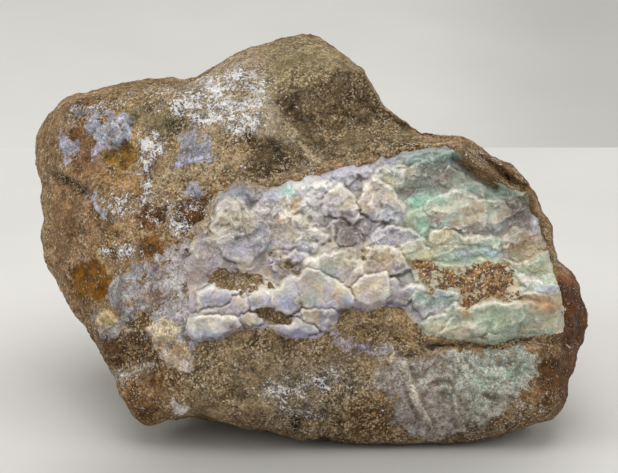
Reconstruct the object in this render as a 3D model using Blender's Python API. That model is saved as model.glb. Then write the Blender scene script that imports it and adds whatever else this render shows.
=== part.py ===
"""Rough opal specimen: a brown host rock with a lumpy opal seam bedded in its face. Metres, +Z up."""

import bmesh
import bpy
import math
import numpy as np
from mathutils import Matrix

MM = 0.001

# Lie of the stone
LEAN = math.radians(17.0)       # how far the broken face leans back from upright
MIDDLE_HEIGHT = 42.6            # height of the stone's middle above its flat base
REACH = 600.0                   # the face is laid out as seen from this far in front of the middle
STANDING_GAP = 0.3              # room left between the opal and its bed

# Outside of the host rock, as (across, up) from the stone's middle, going round
EDGE = [
    (-3.5, 56.5), (-1.5, 56.5), (5, 53), (12.5, 47.5), (15, 46), (16, 43), (19.5, 36.5), (24.5, 33),
    (29.5, 28.8), (36, 28.3), (40.5, 28.5), (44, 26.5), (50, 22.5), (52.5, 21.5), (55, 21), (59, 17),
    (61, 13.5), (62.5, 8.5), (65, 3.5), (66.5, -2.5), (67, -6), (70.5, -8.5), (73.6, -13), (73.2, -14.5),
    (76.3, -19.5), (76, -26.5), (74.6, -33.5), (71, -38.5), (70, -44), (67.5, -48), (63.5, -49.5),
    (58.5, -51), (49.5, -54.5), (39, -57), (28.5, -58), (18, -58.5), (7.5, -57.5), (-2.5, -55.5),
    (-10, -52.5), (-22, -50), (-29, -48.5), (-34, -48.5), (-38, -49), (-41.5, -50.5), (-46.5, -53),
    (-49.5, -50.5), (-52.5, -44.5), (-53.5, -37), (-58.5, -29), (-62, -22.5), (-68.5, -13.5), (-73, -4),
    (-73.5, 2.5), (-72.5, 4.5), (-72.5, 15.5), (-74, 19), (-75, 24), (-74.5, 28.5), (-71, 34),
    (-66.5, 38), (-59, 40), (-50, 42.5), (-41.5, 43.5), (-34.5, 43.5), (-30, 45), (-25, 48.5),
    (-16.5, 53), (-7, 56),
]
EDGE_TAPER = 0.06               # how much the outline has drawn in at 45 mm from its widest plane
EDGE_DEPTH = 5.0                # how far forward the widest plane lies at the middle
EDGE_SLOPE = 20.0               # how far it comes forward towards the foot
EDGE_SWING = 12.0               # and towards the right
EDGE_ALLOWANCE = 0.5            # made up for what rounding takes off
BACK_BLUR = 64                  # quarter degrees either way over which the back forgets the outline's notches
BACK_DRAW_IN = 20.0             # and the depth over which it does so
CORNER = 0.55                   # sharpness of the corners between breaks, per mm

# Broken faces, as a point on each and the way it looks (across, up, out)
BREAKS = [
    ((10, -3, 38.5), (0.06, 0.20, 1.0)),        # the opal's face
    ((10, -40, 40.0), (0.03, -0.10, 1.0)),      # sandy lower front
    ((-25, 15, 34.5), (-0.42, 0.36, 1.0)),      # upper left
    ((-58, 2, 25.0), (-1.3, 0.0, 0.9)),         # left end
    ((-42, -34, 36.0), (-0.45, -0.05, 1.0)),    # spur
    ((-45, -51, 27.0), (-0.45, -0.7, -0.5)),    # hollow under the spur
    ((-6, 42, 27.0), (-0.12, 0.85, 1.0)),       # peak
    ((70, -5, 30.0), (1.0, 0.1, 0.6)),           # right rim
    ((74, -30, 30.0), (1.0, -0.15, 0.5)),       # right foot
    ((0, 0, -43.0), (0.12, 0.15, -1.0)),        # back
    ((-45, 5, -36.0), (-0.65, 0.1, -0.9)),      # back left
    ((50, 0, -34.0), (0.7, 0.15, -0.85)),       # back right
    ((0, 36, -26.0), (0.1, 0.9, -0.75)),        # back of the peak
    ((10, -28, -44.0), (-0.15, -0.5, -1.0)),    # back foot
]

# Dark fresh break right of the peak: a recess with a wall at its back and a bench above the opal's lip
RECESS_WALL = ((-10.6, 36.8, 28.8), (-0.28, 0.10))     # a point on the wall, and its rise across and up
RECESS_RIDGE = ((-10.6, 36.8), (0.70, 0.71), 2.4)      # sharp ridge on its lower left, way in, fall per mm
RECESS_BENCH = ((2.7, 23.4), (-0.13, 0.99), 1.5)       # lip line along the opal, way in, fall per mm
RECESS_SOFTNESS = 0.9

# Ridges and grooves: (points, half width, height)
CREASES = [
    ([(-13.5, 16.6), (-5, 18.3), (0, 19.6), (5, 21), (12, 22), (18, 23.8), (25, 25.4), (31, 26.2), (39, 26)],
     1.5, 1.6),                                                                      # lip over the opal
    ([(41, 25), (46, 21.4), (51, 18.2), (57, 15)], 4.5, 2.2),                        # bank of the rim
    ([(39.5, 22.3), (43, 19.8), (47, 16.8), (51, 14.4)], 1.0, -1.6),                 # groove by the opal
    ([(41.2, 24), (45, 21), (49, 18.4), (52, 16), (56, 13.8)], 1.3, 2.4),            # rim, inner ridge
    ([(43.5, 25.6), (47, 22.6), (50.5, 19.8), (54, 17), (58, 14.2)], 1.1, -3.4),     # rim, groove
    ([(47, 24), (51, 21), (56, 17.6), (60, 12.5)], 1.8, 2.6),                        # rim, outer ridge
    ([(61, 12), (63.4, 6), (65, 1), (66, -4)], 1.3, 2.4),                            # thin rim on the right
    ([(33, -28.8), (40, -28.7), (45, -28.6), (50, -29.8), (53, -29), (56, -27.6), (62, -27.4), (70, -28.2)],
     1.0, -2.0),                                                                     # crack under the opal
    ([(25, -32.4), (29, -31), (33, -28.8)], 1.2, -1.1),                              # its fading end
    ([(-70, 18), (-66, 15.7), (-61.5, 13.2)], 1.3, -2.4),                            # notch on the left
    ([(-68, 20), (-62, 17.5), (-57, 16)], 1.6, 0.9),                                 # brow above the notch
    ([(-30, -46), (-24, -45), (-15, -45.6), (-6, -47)], 1.2, 1.0),                   # ledge at the foot
    ([(-58, -24.5), (-50, -26.5), (-42, -26)], 2.0, 1.0),                            # shelf on the left
    ([(46, -34.6), (52, -34.2), (58, -33.2)], 0.9, -0.8),                            # fine crack
    ([(25.5, -34), (27.5, -39), (29.5, -45), (31.5, -50)], 0.9, 0.7),                # pale vein
    ([(-16, 26.4), (-11, 24.4), (-5, 23.4), (0, 22.6)], 3.6, -1.3),                  # hollow below the ridge
]

# Dents and swellings: (place, half sizes, height)
SWELLS = [
    ((69.8, -11.4), (3.6, 3.6), 4.0),           # knob on the right edge
    ((71, -21), (4.0, 5.5), 1.5),
    ((-50.5, 22), (5.5, 4.0), -2.2),            # amber hollow
    ((-61.5, 24), (4.5, 7.0), -1.4),            # smooth pool
    ((-56, 31), (6.0, 3.2), 1.2),               # banded patch
    ((-38, -27), (5.5, 6.5), 1.8),              # cream blob
    ((-45, -43), (7.0, 6.0), 2.0),              # spur
    ((-68, 3), (6.0, 6.0), 1.0),
    ((20, -22.5), (8.0, 2.4), 1.2),             # sandy crest under the opal
    ((10, -26), (6.0, 2.6), -1.2),
    ((-22, -10.8), (7.0, 2.6), -2.2),           # sandy hollow between the opal lumps
    ((-5, 48), (7.0, 5.0), 1.2),
]

# Bed of the opal
SEAM_EDGE = [
    (-22, 16.3), (-17, 17), (-12, 16), (-5, 17.3), (0, 18.6), (5, 20), (12, 21), (18, 22.7), (25, 24.3),
    (32, 25), (37, 25.2), (40, 22.5), (43, 19.3), (46, 16.4), (50, 14.2), (55, 13), (59.2, 12.4),
    (60.6, 8.6), (62.4, 4.2), (63.6, 0), (64.2, -4), (65, -8), (66.8, -13), (68, -18), (68, -23),
    (66.2, -26), (60, -26.5), (54.5, -26.8), (50, -28.4), (44, -27.8), (38, -27.4), (33, -26.2),
    (29, -22.6), (24, -19.2), (17, -19.9), (10, -20.6), (8, -24.6), (3, -28.8), (-4, -28.4),
    (-10, -25.6), (-16, -26), (-24, -28.6), (-33, -29.6), (-35, -24), (-35, -14), (-36.5, -5),
    (-34, 1), (-30, 6), (-27, 11.5),
]
SEAM_BED = 10.5                 # depth of the bed below the face
SEAM_FACE = (14.0, -3.0)        # the seam's middle on the face

# Opal lumps: (outline, rise, tilt), the tilt making the lower edge stand out further
LUMPS = [
    ([(-30, -13.8), (-26, -12.7), (-21, -12.6), (-18.8, -13.6), (-20.5, -16), (-25, -18.4), (-30.2, -18.9)], 3.0, 0.14),
    ([(-33, -21.5), (-29, -19.4), (-22, -18), (-18.5, -15.8), (-16.9, -17), (-17.8, -19.6), (-21, -21)], 2.8, 0.10),
    ([(-34, -23), (-30, -21), (-20, -21.2), (-19.4, -24.6), (-24, -26.6), (-30, -28.5), (-33.5, -27)], 3.6, 0.14),
    ([(-19.8, -21.5), (-17, -20.3), (-13.6, -20.8), (-13.2, -23), (-18, -24.2)], 2.2, 0.1),
    ([(-22, -28), (-20, -25.4), (-15, -24.4), (-16.5, -26)], 1.4, 0.1),
    ([(-16.5, -16), (-14, -13.5), (-11, -12.4), (-9.8, -14), (-10.4, -17.3), (-12.5, -18.7), (-16, -18.8)], 3.6, 0.2),
    ([(-10.2, -17), (-10, -13.5), (-6, -10.2), (-4, -10.8), (-2.6, -14), (-2.8, -18.6), (-5, -19.9), (-8, -18.8)],
     4.6, 0.22),
    ([(-4.4, -10.8), (-2, -9.2), (2.5, -9), (8, -12.4), (11, -13.6), (12, -16), (10, -19.8), (5, -18.8), (-2, -18)],
     5.2, 0.22),
    ([(-4.5, -20.4), (-1, -18.5), (6.5, -19), (7.8, -20), (7, -23.5), (5, -24.6), (0.5, -22.8)], 3.6, 0.2),
    ([(-10.5, -24.6), (-6.5, -22), (-4.2, -20.9), (1, -23.2), (2, -24.6), (-2, -26.9), (-7, -25.4)], 2.8, 0.2),
    ([(-2.2, -27.8), (0, -26.6), (3.4, -27.6), (1.5, -28.9)], 1.4, 0.1),
    ([(-10, -8), (-7, -5), (-4.5, -3.2), (-1, -4.4), (-0.6, -6.2), (-4, -8)], 2.8, 0.15),
    ([(-2, -8.2), (-0.8, -5.6), (5, -4.8), (10.7, -2.3), (13, -5.4), (15, -9.5), (12.4, -12.6), (8, -12.8), (3, -9.4)],
     4.8, 0.2),
    ([(13.8, -7), (14.4, -3.4), (17.5, -2), (20.3, -1), (24, -3.3), (27.5, -8), (22, -9.2), (15, -9)], 4.2, 0.15),
    ([(12.6, -12.6), (16, -8.7), (20.5, -9.6), (21, -14), (20, -18.4), (16, -19.3), (12.2, -17)], 4.0, 0.15),
    ([(20.5, -12), (23, -11), (24.5, -13.4), (29.4, -13), (28, -15.6), (24, -17.3), (20.5, -16.5)], 2.8, 0.1),
    ([(4, 9.6), (5.4, 12.6), (8.5, 14.8), (11, 12), (13.4, 6), (12, 4.4), (8, 6.4), (4.4, 7.6)], 4.0, 0.15),
    ([(13, 10), (15, 14), (18.5, 16.8), (22.5, 13.3), (25.4, 9.5), (24.6, 4), (20, 6), (14.4, 8)], 4.0, 0.12),
    ([(17.4, -0.5), (18.4, 2), (22.7, 4), (27.6, 2.5), (31, -1.5), (35, -4.4), (27.4, -6.2), (23, -2.2)], 3.6, 0.15),
    ([(-4.6, -1.6), (-1, 2), (1.4, 2.6), (3.8, 0.2), (1.6, -2.8), (-1.6, -3.2)], 2.6, 0.2),
    ([(-14, 9.5), (-12, 11.4), (-6.8, 11.4), (-4.6, 16.5), (1, 17.4), (5.4, 15), (3.6, 9), (2.6, 5.4), (-2.5, 0.6),
      (-6, -1.9), (-12, -3.2), (-11, 3.2), (-15, 7)], 3.0, 0.08),
    ([(-26, 3), (-23.5, 9.6), (-18, 9.4), (-14.4, 6), (-10.6, 1.6), (-12.8, -3), (-17, -6.3), (-24, -4.4)], 3.6, 0.1),
    ([(-23, 11.4), (-22, 14.6), (-18, 16.4), (-14, 14.5), (-13.4, 11), (-17, 9.6)], 2.0, 0.05),
    ([(6.3, 17.4), (7.8, 20), (12.2, 20.4), (13.6, 17.8), (10.4, 15.4)], 2.2, 0.05),
    ([(13.4, 20), (16.6, 20.4), (18.4, 17), (15, 15.4), (13.4, 17)], 1.8, 0.05),
    ([(18.4, 17.4), (19.6, 19.8), (24.8, 20.5), (25, 16), (24, 13.6), (20.6, 15.2)], 2.8, 0.05),
    ([(17, 20.6), (22, 22.8), (30, 24.4), (38.4, 24.4), (39.6, 21), (33, 21.4), (25.6, 21.2)], 2.0, 0.05),
    ([(24.8, 19.4), (32, 20.8), (37.4, 20), (37, 16.4), (32.4, 11.9), (26, 13.4)], 1.2, 0.08),
    ([(36, 15.6), (38.4, 19.4), (43, 17.4), (47, 14.4), (59.6, 12.4), (57, 10.8), (47, 11.4), (39, 13)], 1.8, 0.1),
    ([(26, 10.8), (29, 11.8), (32.8, 11.2), (31.6, 9.2), (26.4, 9.2)], 1.6, 0.05),
    ([(25, 7.6), (31, 8.6), (32, 6), (30.4, 1.4), (27.6, 2.6)], 2.4, 0.05),
    ([(31.2, 7.4), (33, 10.2), (38, 12.9), (42, 12.9), (44.6, 11), (40, 8.6), (34, 6.2)], 3.4, 0.12),
    ([(32.4, 4.6), (35, 6.6), (40, 8.4), (43.6, 10.6), (47, 10.2), (48, 1.6), (40, 1.6), (36, 3.4)], 2.8, 0.12),
    ([(46.8, 10.3), (52.6, 9.8), (54, 6.4), (52, 1.8), (47.6, 2.4)], 2.2, 0.1),
    ([(52.5, 9.9), (60.4, 10.3), (63.6, 4.4), (60, 2.6), (53, 2.2)], 1.6, 0.05),
    ([(32.6, -0.4), (33.6, 2.4), (36.6, 3.2), (42, 0.8), (52.4, 0.4), (51, -2.2), (45, -1), (38, -1.4)], 2.6, 0.15),
    ([(30.4, 0.8), (32.4, -1.2), (38.6, -1.8), (45, -1.2), (47.5, -3), (44, -6), (37, -5.6), (32, -2.4)], 2.0, 0.15),
    ([(52.6, 0.8), (56, 2.6), (61, 1.6), (63.8, -1.6), (60.4, -5.4), (54, -5)], 2.0, 0.12),
    ([(60.6, -4), (64.4, -3.6), (64.8, -7.6), (60, -9.4), (57, -8)], 2.0, 0.12),
    ([(53.6, -5), (59.6, -8), (62.2, -10.2), (57.4, -10.6)], 1.6, 0.1),
    ([(28, -6.6), (33, -6.8), (42, -7), (50, -5.5), (55, -8), (59.4, -15.6), (54, -17.8), (42, -17.4), (36, -13.4),
      (30, -12)], 1.8, 0.08),
    ([(55.6, -9), (61, -11), (67, -13), (66.4, -14.8), (60, -13.2)], 2.4, 0.1),
    ([(57.6, -13.2), (67, -15.2), (68.2, -17.2), (60, -16)], 1.8, 0.1),
    ([(27.6, -15.8), (30, -13.2), (41, -15), (40, -17.6), (34, -21), (30, -21)], 2.6, 0.12),
    ([(30, -22.6), (35, -21), (41, -17.8), (47.4, -18.3), (48.8, -20.6), (48.2, -25.6), (42, -27), (34, -26)], 3.6, 0.18),
    ([(48, -18.4), (57, -17.8), (59, -20), (56, -25.6), (52.4, -27.8), (48.4, -26.8)], 3.2, 0.2),
    ([(58.4, -18), (66, -17.4), (68, -21), (66, -26), (57, -25.8)], 3.0, 0.15),
]
LUMP_SHOULDER = 2.2             # how far in from its edge a lump reaches full height
SANDY_HOLLOWS = [
    ((-20, -9.6), (7.0, 2.4)), ((-10.5, -20.8), (5.0, 1.7)), ((-3.4, -8.8), (3.0, 1.5)), ((10.4, 0.6), (3.6, 4.2)),
    ((18.5, 4.2), (4.5, 1.6)), ((25, -10.8), (3.0, 2.0)), ((11.5, 16.6), (1.8, 1.6)), ((36.6, 17.4), (1.6, 1.6)),
]
HOLLOW_DEPTH = 2.2

# Fineness
ROCK_SPHERE_LEVEL = 7
ROCK_KEEP = 0.068
SEAM_CELL = 0.9
SEAM_KEEP = 0.19
NOISE_SEED = 41


def smooth_step(value, low, high):
    """Rise smoothly from 0 at low to 1 at high."""
    share = np.clip((value - low) / (high - low), 0.0, 1.0)
    return share * share * (3.0 - 2.0 * share)


def lattice_noise(places, cell, seed):
    """Smooth noise between -1 and 1, from random values on a cubic lattice."""
    values = np.random.RandomState(seed).uniform(-1.0, 1.0, (32, 32, 32))
    scaled = places / cell
    corner = np.floor(scaled).astype(int)
    part = scaled - corner
    part = part * part * (3.0 - 2.0 * part)
    total = np.zeros(len(places))
    for dx in (0, 1):
        for dy in (0, 1):
            for dz in (0, 1):
                weight = (
                    np.abs(1 - dx - part[:, 0]) * np.abs(1 - dy - part[:, 1]) * np.abs(1 - dz - part[:, 2])
                )
                total += weight * values[(corner[:, 0] + dx) % 32, (corner[:, 1] + dy) % 32, (corner[:, 2] + dz) % 32]
    return total


def ruggedness(places):
    """Broad and medium unevenness of the broken stone, in mm."""
    return 1.0 * lattice_noise(places, 15.0, NOISE_SEED) + 0.5 * lattice_noise(places, 6.5, NOISE_SEED + 1)


def segment_distance(across, up, start, end):
    """Distance from places on the face to a straight segment."""
    along = np.subtract(end, start)
    share = ((across - start[0]) * along[0] + (up - start[1]) * along[1]) / np.dot(along, along)
    share = np.clip(share, 0.0, 1.0)
    return np.hypot(across - start[0] - share * along[0], up - start[1] - share * along[1])


def crease_distance(across, up, points):
    """Distance to a run of straight segments."""
    return np.min([segment_distance(across, up, a, b) for a, b in zip(points, points[1:])], axis=0)


def inside_distance(across, up, outline):
    """Distance to a closed outline, positive inside it."""
    inside = np.zeros(len(across), bool)
    nearest = np.full(len(across), 1e9)
    for (ax, ay), (bx, by) in zip(outline, outline[1:] + outline[:1]):
        nearest = np.minimum(nearest, segment_distance(across, up, (ax, ay), (bx, by)))
        if ay != by:
            crosses = (ay > up) != (by > up)
            inside ^= crosses & (across < ax + (up - ay) * (bx - ax) / (by - ay))
    return np.where(inside, nearest, -nearest)


def edge_reach(bearing, behind):
    """Distance from the middle to the outline, drawing in to a plainer form behind the widest plane."""
    points = np.array(EDGE)
    bearings = np.arctan2(points[:, 1], points[:, 0])
    order = np.argsort(bearings)
    fine = np.linspace(-math.pi, math.pi, 1441)
    reach = np.interp(fine, bearings[order], np.hypot(points[:, 0], points[:, 1])[order], period=2 * math.pi)
    turns = len(fine) - 1
    around = np.arange(turns)[:, None]
    near = np.arange(-3, 4)[None, :]
    wide = np.arange(-BACK_BLUR, BACK_BLUR + 1)[None, :]
    fitted = reach[(around + near) % turns].mean(axis=1)
    plain = reach[(around + wide) % turns].min(axis=1)
    plain = plain[(around + wide) % turns].mean(axis=1)
    fitted = np.interp(bearing, fine[:-1], fitted, period=2 * math.pi)
    plain = np.interp(bearing, fine[:-1], plain, period=2 * math.pi)
    return fitted + (plain - fitted) * smooth_step(behind, 0.0, BACK_DRAW_IN)


def beyond_breaks(places):
    """How far places lie outside the plain broken stone, negative within it."""
    bearing = np.arctan2(places[:, 1], places[:, 0])
    widest = EDGE_DEPTH - EDGE_SLOPE * np.sin(bearing) + EDGE_SWING * np.cos(bearing)
    taper = 1.0 - EDGE_TAPER * ((places[:, 2] - widest) / 45.0) ** 2
    reach = edge_reach(bearing, widest - places[:, 2]) + EDGE_ALLOWANCE
    beyond = [np.hypot(places[:, 0], places[:, 1]) - reach * taper]
    for point, facing in BREAKS:
        beyond.append((places - np.array(point)) @ (np.array(facing) / np.linalg.norm(facing)))
    under = np.array([0.0, -math.cos(LEAN), -math.sin(LEAN)])
    beyond.append(places @ under - MIDDLE_HEIGHT - 1.5)
    beyond = np.array(beyond)
    return np.log(np.sum(np.exp(CORNER * np.clip(beyond, -60, 60)), axis=0)) / CORNER


def surface_along(starts, directions, longest):
    """Distance from each start to the plain stone's surface, found by halving."""
    low = np.zeros(len(starts))
    high = np.full(len(starts), longest)
    for _ in range(22):
        middle = (low + high) / 2
        outside = beyond_breaks(starts + directions * middle[:, None]) > 0
        high = np.where(outside, middle, high)
        low = np.where(outside, low, middle)
    return (low + high) / 2


def softer_of(first, second, softness, sign):
    """Larger (sign 1) or smaller (sign -1) of two depths, rounded where they meet."""
    gap = np.abs(first - second)
    blend = np.maximum(softness - gap, 0.0) ** 2 / (4.0 * softness)
    return sign * (np.maximum(sign * first, sign * second) + blend)


def rock_face(across, up, depth):
    """Depth of the face once the recess, ridges, grooves, dents and swellings are worked in."""
    (wall_across, wall_up, wall_depth), slope = RECESS_WALL
    wall = wall_depth + (across - wall_across) * slope[0] + (up - wall_up) * slope[1]
    (point, inward, fall) = RECESS_RIDGE
    from_ridge = (across - point[0]) * inward[0] + (up - point[1]) * inward[1]
    (point, inward, bench_fall) = RECESS_BENCH
    from_lip = (across - point[0]) * inward[0] + (up - point[1]) * inward[1]
    recess = softer_of(wall, depth - bench_fall * from_lip, RECESS_SOFTNESS * 3, 1)
    recess = softer_of(recess, depth - fall * from_ridge, RECESS_SOFTNESS, 1)
    within = (from_ridge > 0) & (from_lip > 0)
    worked = np.where(within, softer_of(depth, recess, RECESS_SOFTNESS, -1), depth)
    relief = np.zeros(len(across))
    for points, half_width, height in CREASES:
        relief += height * np.exp(-(crease_distance(across, up, points) / half_width) ** 2)
    for place, size, height in SWELLS:
        relief += height * np.exp(-((across - place[0]) / size[0]) ** 2 - ((up - place[1]) / size[1]) ** 2)
    fading = 2.0 + 10.0 * smooth_step(across, -55.0, -35.0)
    return worked + relief * smooth_step(depth - fading, 0.0, 10.0)


def opal_relief(across, up):
    """Lumps and sandy hollows of the opal, in mm outwards."""
    relief = np.full(len(across), -0.8)
    for outline, rise, tilt in LUMPS:
        depth = inside_distance(across, up, outline)
        centre = np.mean([point[1] for point in outline])
        shoulder = np.clip(depth / LUMP_SHOULDER, 0.0, 1.0)
        top = (rise - tilt * (up - centre)) * (1.0 - (1.0 - shoulder) ** 2.5) - 0.8
        relief = np.maximum(relief, top)
    for place, size in SANDY_HOLLOWS:
        relief -= HOLLOW_DEPTH * np.exp(-((across - place[0]) / size[0]) ** 2 - ((up - place[1]) / size[1]) ** 2)
    return relief


def squeeze(places):
    """From the face's layout to true mm, as sight lines draw together towards the front."""
    return places * np.column_stack([1 - places[:, 2] / REACH, 1 - places[:, 2] / REACH, np.ones(len(places))])


def face_places(across, up):
    """Places on the rock's broken face in front of the given layout positions."""
    flat = np.column_stack([across, up, np.zeros(len(across))])
    depth = surface_along(flat, np.array([[0.0, 0.0, 1.0]]), 70.0)
    places = np.column_stack([across, up, depth])
    places[:, 2] += ruggedness(places)
    return places


def upright(places):
    """From (across, up, out) in mm to metres with the face looking along -Y."""
    return np.column_stack([places[:, 0], -places[:, 2], places[:, 1]]) * MM


def material(name, colour, roughness):
    """Plain material in one colour."""
    made = bpy.data.materials.new(name)
    made.use_nodes = True
    shader = made.node_tree.nodes["Principled BSDF"]
    shader.inputs["Base Color"].default_value = (*colour, 1.0)
    shader.inputs["Roughness"].default_value = roughness
    shader.inputs["Metallic"].default_value = 0.0
    return made


def add_object(name, mesh, collection, parent=None):
    """Link a new object under a parent."""
    added = bpy.data.objects.new(name, mesh)
    collection.objects.link(added)
    added.parent = parent
    return added


def add_prism(name, outline, low, high, collection, parent):
    """Straight prism over an outline, kept as a cutter."""
    mesh = bpy.data.meshes.new(name)
    shape = bmesh.new()
    base = shape.faces.new([shape.verts.new((x * MM, y * MM, low * MM)) for x, y in outline])
    risen = bmesh.ops.extrude_face_region(shape, geom=[base])
    corners = [part for part in risen["geom"] if isinstance(part, bmesh.types.BMVert)]
    bmesh.ops.translate(shape, verts=corners, vec=(0.0, 0.0, (high - low) * MM))
    bmesh.ops.recalc_face_normals(shape, faces=shape.faces)
    shape.to_mesh(mesh)
    shape.free()
    cutter = add_object(name, mesh, collection, parent)
    cutter.hide_render = True
    cutter.display_type = "WIRE"
    return cutter


def grown(outline, distance):
    """Outline moved outwards by a distance, corner by corner. The outline runs clockwise."""
    points = np.array(outline)
    ahead = np.roll(points, -1, axis=0) - points
    ahead /= np.linalg.norm(ahead, axis=1)[:, None]
    normals = np.column_stack([-ahead[:, 1], ahead[:, 0]])
    joint = normals + np.roll(normals, 1, axis=0)
    joint /= np.sum(joint * normals, axis=1)[:, None]
    return points + joint * distance


def add_boolean(target, cutter, operation):
    """Exact Boolean with a cutter."""
    step = target.modifiers.new(cutter.name, "BOOLEAN")
    step.operation = operation
    step.object = cutter
    step.solver = "EXACT"
    return step


def add_decimate(target, ratio):
    """Merge flat triangles, keeping the given share."""
    step = target.modifiers.new("thin_out", "DECIMATE")
    step.ratio = ratio
    return step


for old in list(bpy.data.objects):
    bpy.data.objects.remove(old, do_unlink=True)

stone = bpy.data.collections.new("rough_opal_specimen")
cutters = bpy.data.collections.new("cutters")
bpy.context.scene.collection.children.link(stone)
bpy.context.scene.collection.children.link(cutters)

lie = bpy.data.objects.new("lie", None)
lie.location = (0.0, 0.0, MIDDLE_HEIGHT * MM)
lie.rotation_euler = (-LEAN, 0.0, 0.0)
stone.objects.link(lie)

# Host rock
rock_mesh = bpy.data.meshes.new("host_rock")
ball = bmesh.new()
bmesh.ops.create_icosphere(ball, subdivisions=ROCK_SPHERE_LEVEL, radius=1.0)
ball.to_mesh(rock_mesh)
ball.free()
spots = np.array([vertex.co[:] for vertex in rock_mesh.vertices])
directions = np.column_stack([spots[:, 0], spots[:, 2], -spots[:, 1]])
distances = surface_along(np.zeros_like(directions), directions, 130.0)
places = directions * distances[:, None]
places += directions * ruggedness(places)[:, None]
front = smooth_step(places[:, 2], 2.0, 12.0)
places[:, 2] += front * (rock_face(places[:, 0], places[:, 1], places[:, 2]) - places[:, 2])
rock_mesh.vertices.foreach_set("co", upright(squeeze(places)).ravel())
rock_mesh.update()
rock = add_object("host_rock", rock_mesh, stone, lie)
rock.data.materials.append(material("host_rock", (0.24, 0.165, 0.095), 0.85))
add_decimate(rock, ROCK_KEEP)

table = add_prism("table_cut", [(-120, -120), (120, -120), (120, 120), (-120, 120)], -60, 0, cutters, None)
add_boolean(rock, table, "DIFFERENCE")

# Opal seam, on its own axes across, up and out of the face
out = np.array(BREAKS[0][1]) / np.linalg.norm(BREAKS[0][1])
right = np.array([1.0, 0.0, 0.0]) - out * out[0]
right /= np.linalg.norm(right)
rise = np.cross(out, right)
centre = squeeze(face_places(np.array([SEAM_FACE[0]]), np.array([SEAM_FACE[1]])))[0]


def seam_axes(places):
    """True mm on the seam's own axes."""
    offset = squeeze(places) - centre
    return np.column_stack([offset @ right, offset @ rise, offset @ out])


seam_frame = bpy.data.objects.new("seam_frame", None)
seam_frame.parent = lie
seam_frame.location = upright(centre[None, :])[0]
turn = np.column_stack([upright(axis[None, :])[0] / MM for axis in (right, rise, out)])
seam_frame.rotation_euler = Matrix(turn.tolist()).to_euler()
stone.objects.link(seam_frame)

bed_points = np.array(SEAM_EDGE, dtype=float)
bed_outline = seam_axes(face_places(bed_points[:, 0], bed_points[:, 1]))[:, :2]
seam_prism = add_prism("seam_outline", bed_outline, -SEAM_BED, 25, cutters, seam_frame)
bed_prism = add_prism(
    "seam_bed", grown(bed_outline, STANDING_GAP), -SEAM_BED - STANDING_GAP, 25, cutters, seam_frame
)
add_boolean(rock, bed_prism, "DIFFERENCE")

low, high = bed_points.min(axis=0) - 2.0, bed_points.max(axis=0) + 2.0
columns = int((high[0] - low[0]) / SEAM_CELL)
rows = int((high[1] - low[1]) / SEAM_CELL)
slab = bmesh.new()
bmesh.ops.create_grid(slab, x_segments=columns, y_segments=rows, size=0.5)
rims = [edge for edge in slab.edges if edge.is_boundary]
raised = list(slab.verts)
spots = np.array([vertex.co[:2] for vertex in raised]) + 0.5
spots = low + spots * (high - low)
tops = face_places(spots[:, 0], spots[:, 1])
tops[:, 2] = rock_face(spots[:, 0], spots[:, 1], tops[:, 2]) + opal_relief(spots[:, 0], spots[:, 1])
tops = seam_axes(tops)
tops[:, 2] = np.maximum(tops[:, 2], -SEAM_BED - 3)
for vertex, place in zip(raised, tops):
    vertex.co = place * MM
walls = bmesh.ops.extrude_edge_only(slab, edges=rims)
feet = [part for part in walls["geom"] if isinstance(part, bmesh.types.BMVert)]
for vertex in feet:
    vertex.co.z = -(SEAM_BED + 6) * MM
bmesh.ops.contextual_create(slab, geom=[edge for edge in slab.edges if edge.is_boundary])
bmesh.ops.recalc_face_normals(slab, faces=slab.faces)
if slab.calc_volume(signed=True) < 0:
    bmesh.ops.reverse_faces(slab, faces=slab.faces)
seam_mesh = bpy.data.meshes.new("opal_seam")
slab.to_mesh(seam_mesh)
slab.free()
seam = add_object("opal_seam", seam_mesh, stone, seam_frame)
seam.data.materials.append(material("opal", (0.70, 0.69, 0.64), 0.35))
add_decimate(seam, SEAM_KEEP)
add_boolean(seam, seam_prism, "INTERSECT")
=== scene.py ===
"""Rough opal specimen: the looks of the stone and its opal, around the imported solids. Metres, +Z up."""

import math

import bmesh
import bpy
import numpy as np
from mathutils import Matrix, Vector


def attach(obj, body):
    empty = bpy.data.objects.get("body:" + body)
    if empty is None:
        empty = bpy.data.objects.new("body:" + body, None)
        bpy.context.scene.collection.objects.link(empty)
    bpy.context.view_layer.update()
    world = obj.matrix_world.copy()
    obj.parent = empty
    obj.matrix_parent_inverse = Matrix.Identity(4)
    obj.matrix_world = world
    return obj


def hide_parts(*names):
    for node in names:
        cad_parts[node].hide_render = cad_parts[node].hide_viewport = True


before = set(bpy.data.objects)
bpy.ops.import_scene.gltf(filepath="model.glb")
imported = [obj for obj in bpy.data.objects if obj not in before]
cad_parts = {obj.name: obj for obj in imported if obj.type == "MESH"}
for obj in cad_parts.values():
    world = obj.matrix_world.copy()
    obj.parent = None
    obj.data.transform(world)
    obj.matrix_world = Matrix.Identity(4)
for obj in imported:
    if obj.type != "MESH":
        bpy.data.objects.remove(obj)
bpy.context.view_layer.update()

# Host rock
# A broken block of brown, iron-stained sandstone and clay that the opal grew in. Its face is fresh and
# uneven, its sides and back are weathered skin, and thin films of opal and amber glass run over the left.
# The stone stands on its own flat foot, with the face leaning back.

MM = 0.001
LEAN = math.radians(17.0)       # how far the broken face leans back from upright
MIDDLE_HEIGHT = 42.6            # height of the stone's middle above its flat base
REACH = 600.0                   # the face is laid out as seen from this far in front of the middle

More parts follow.
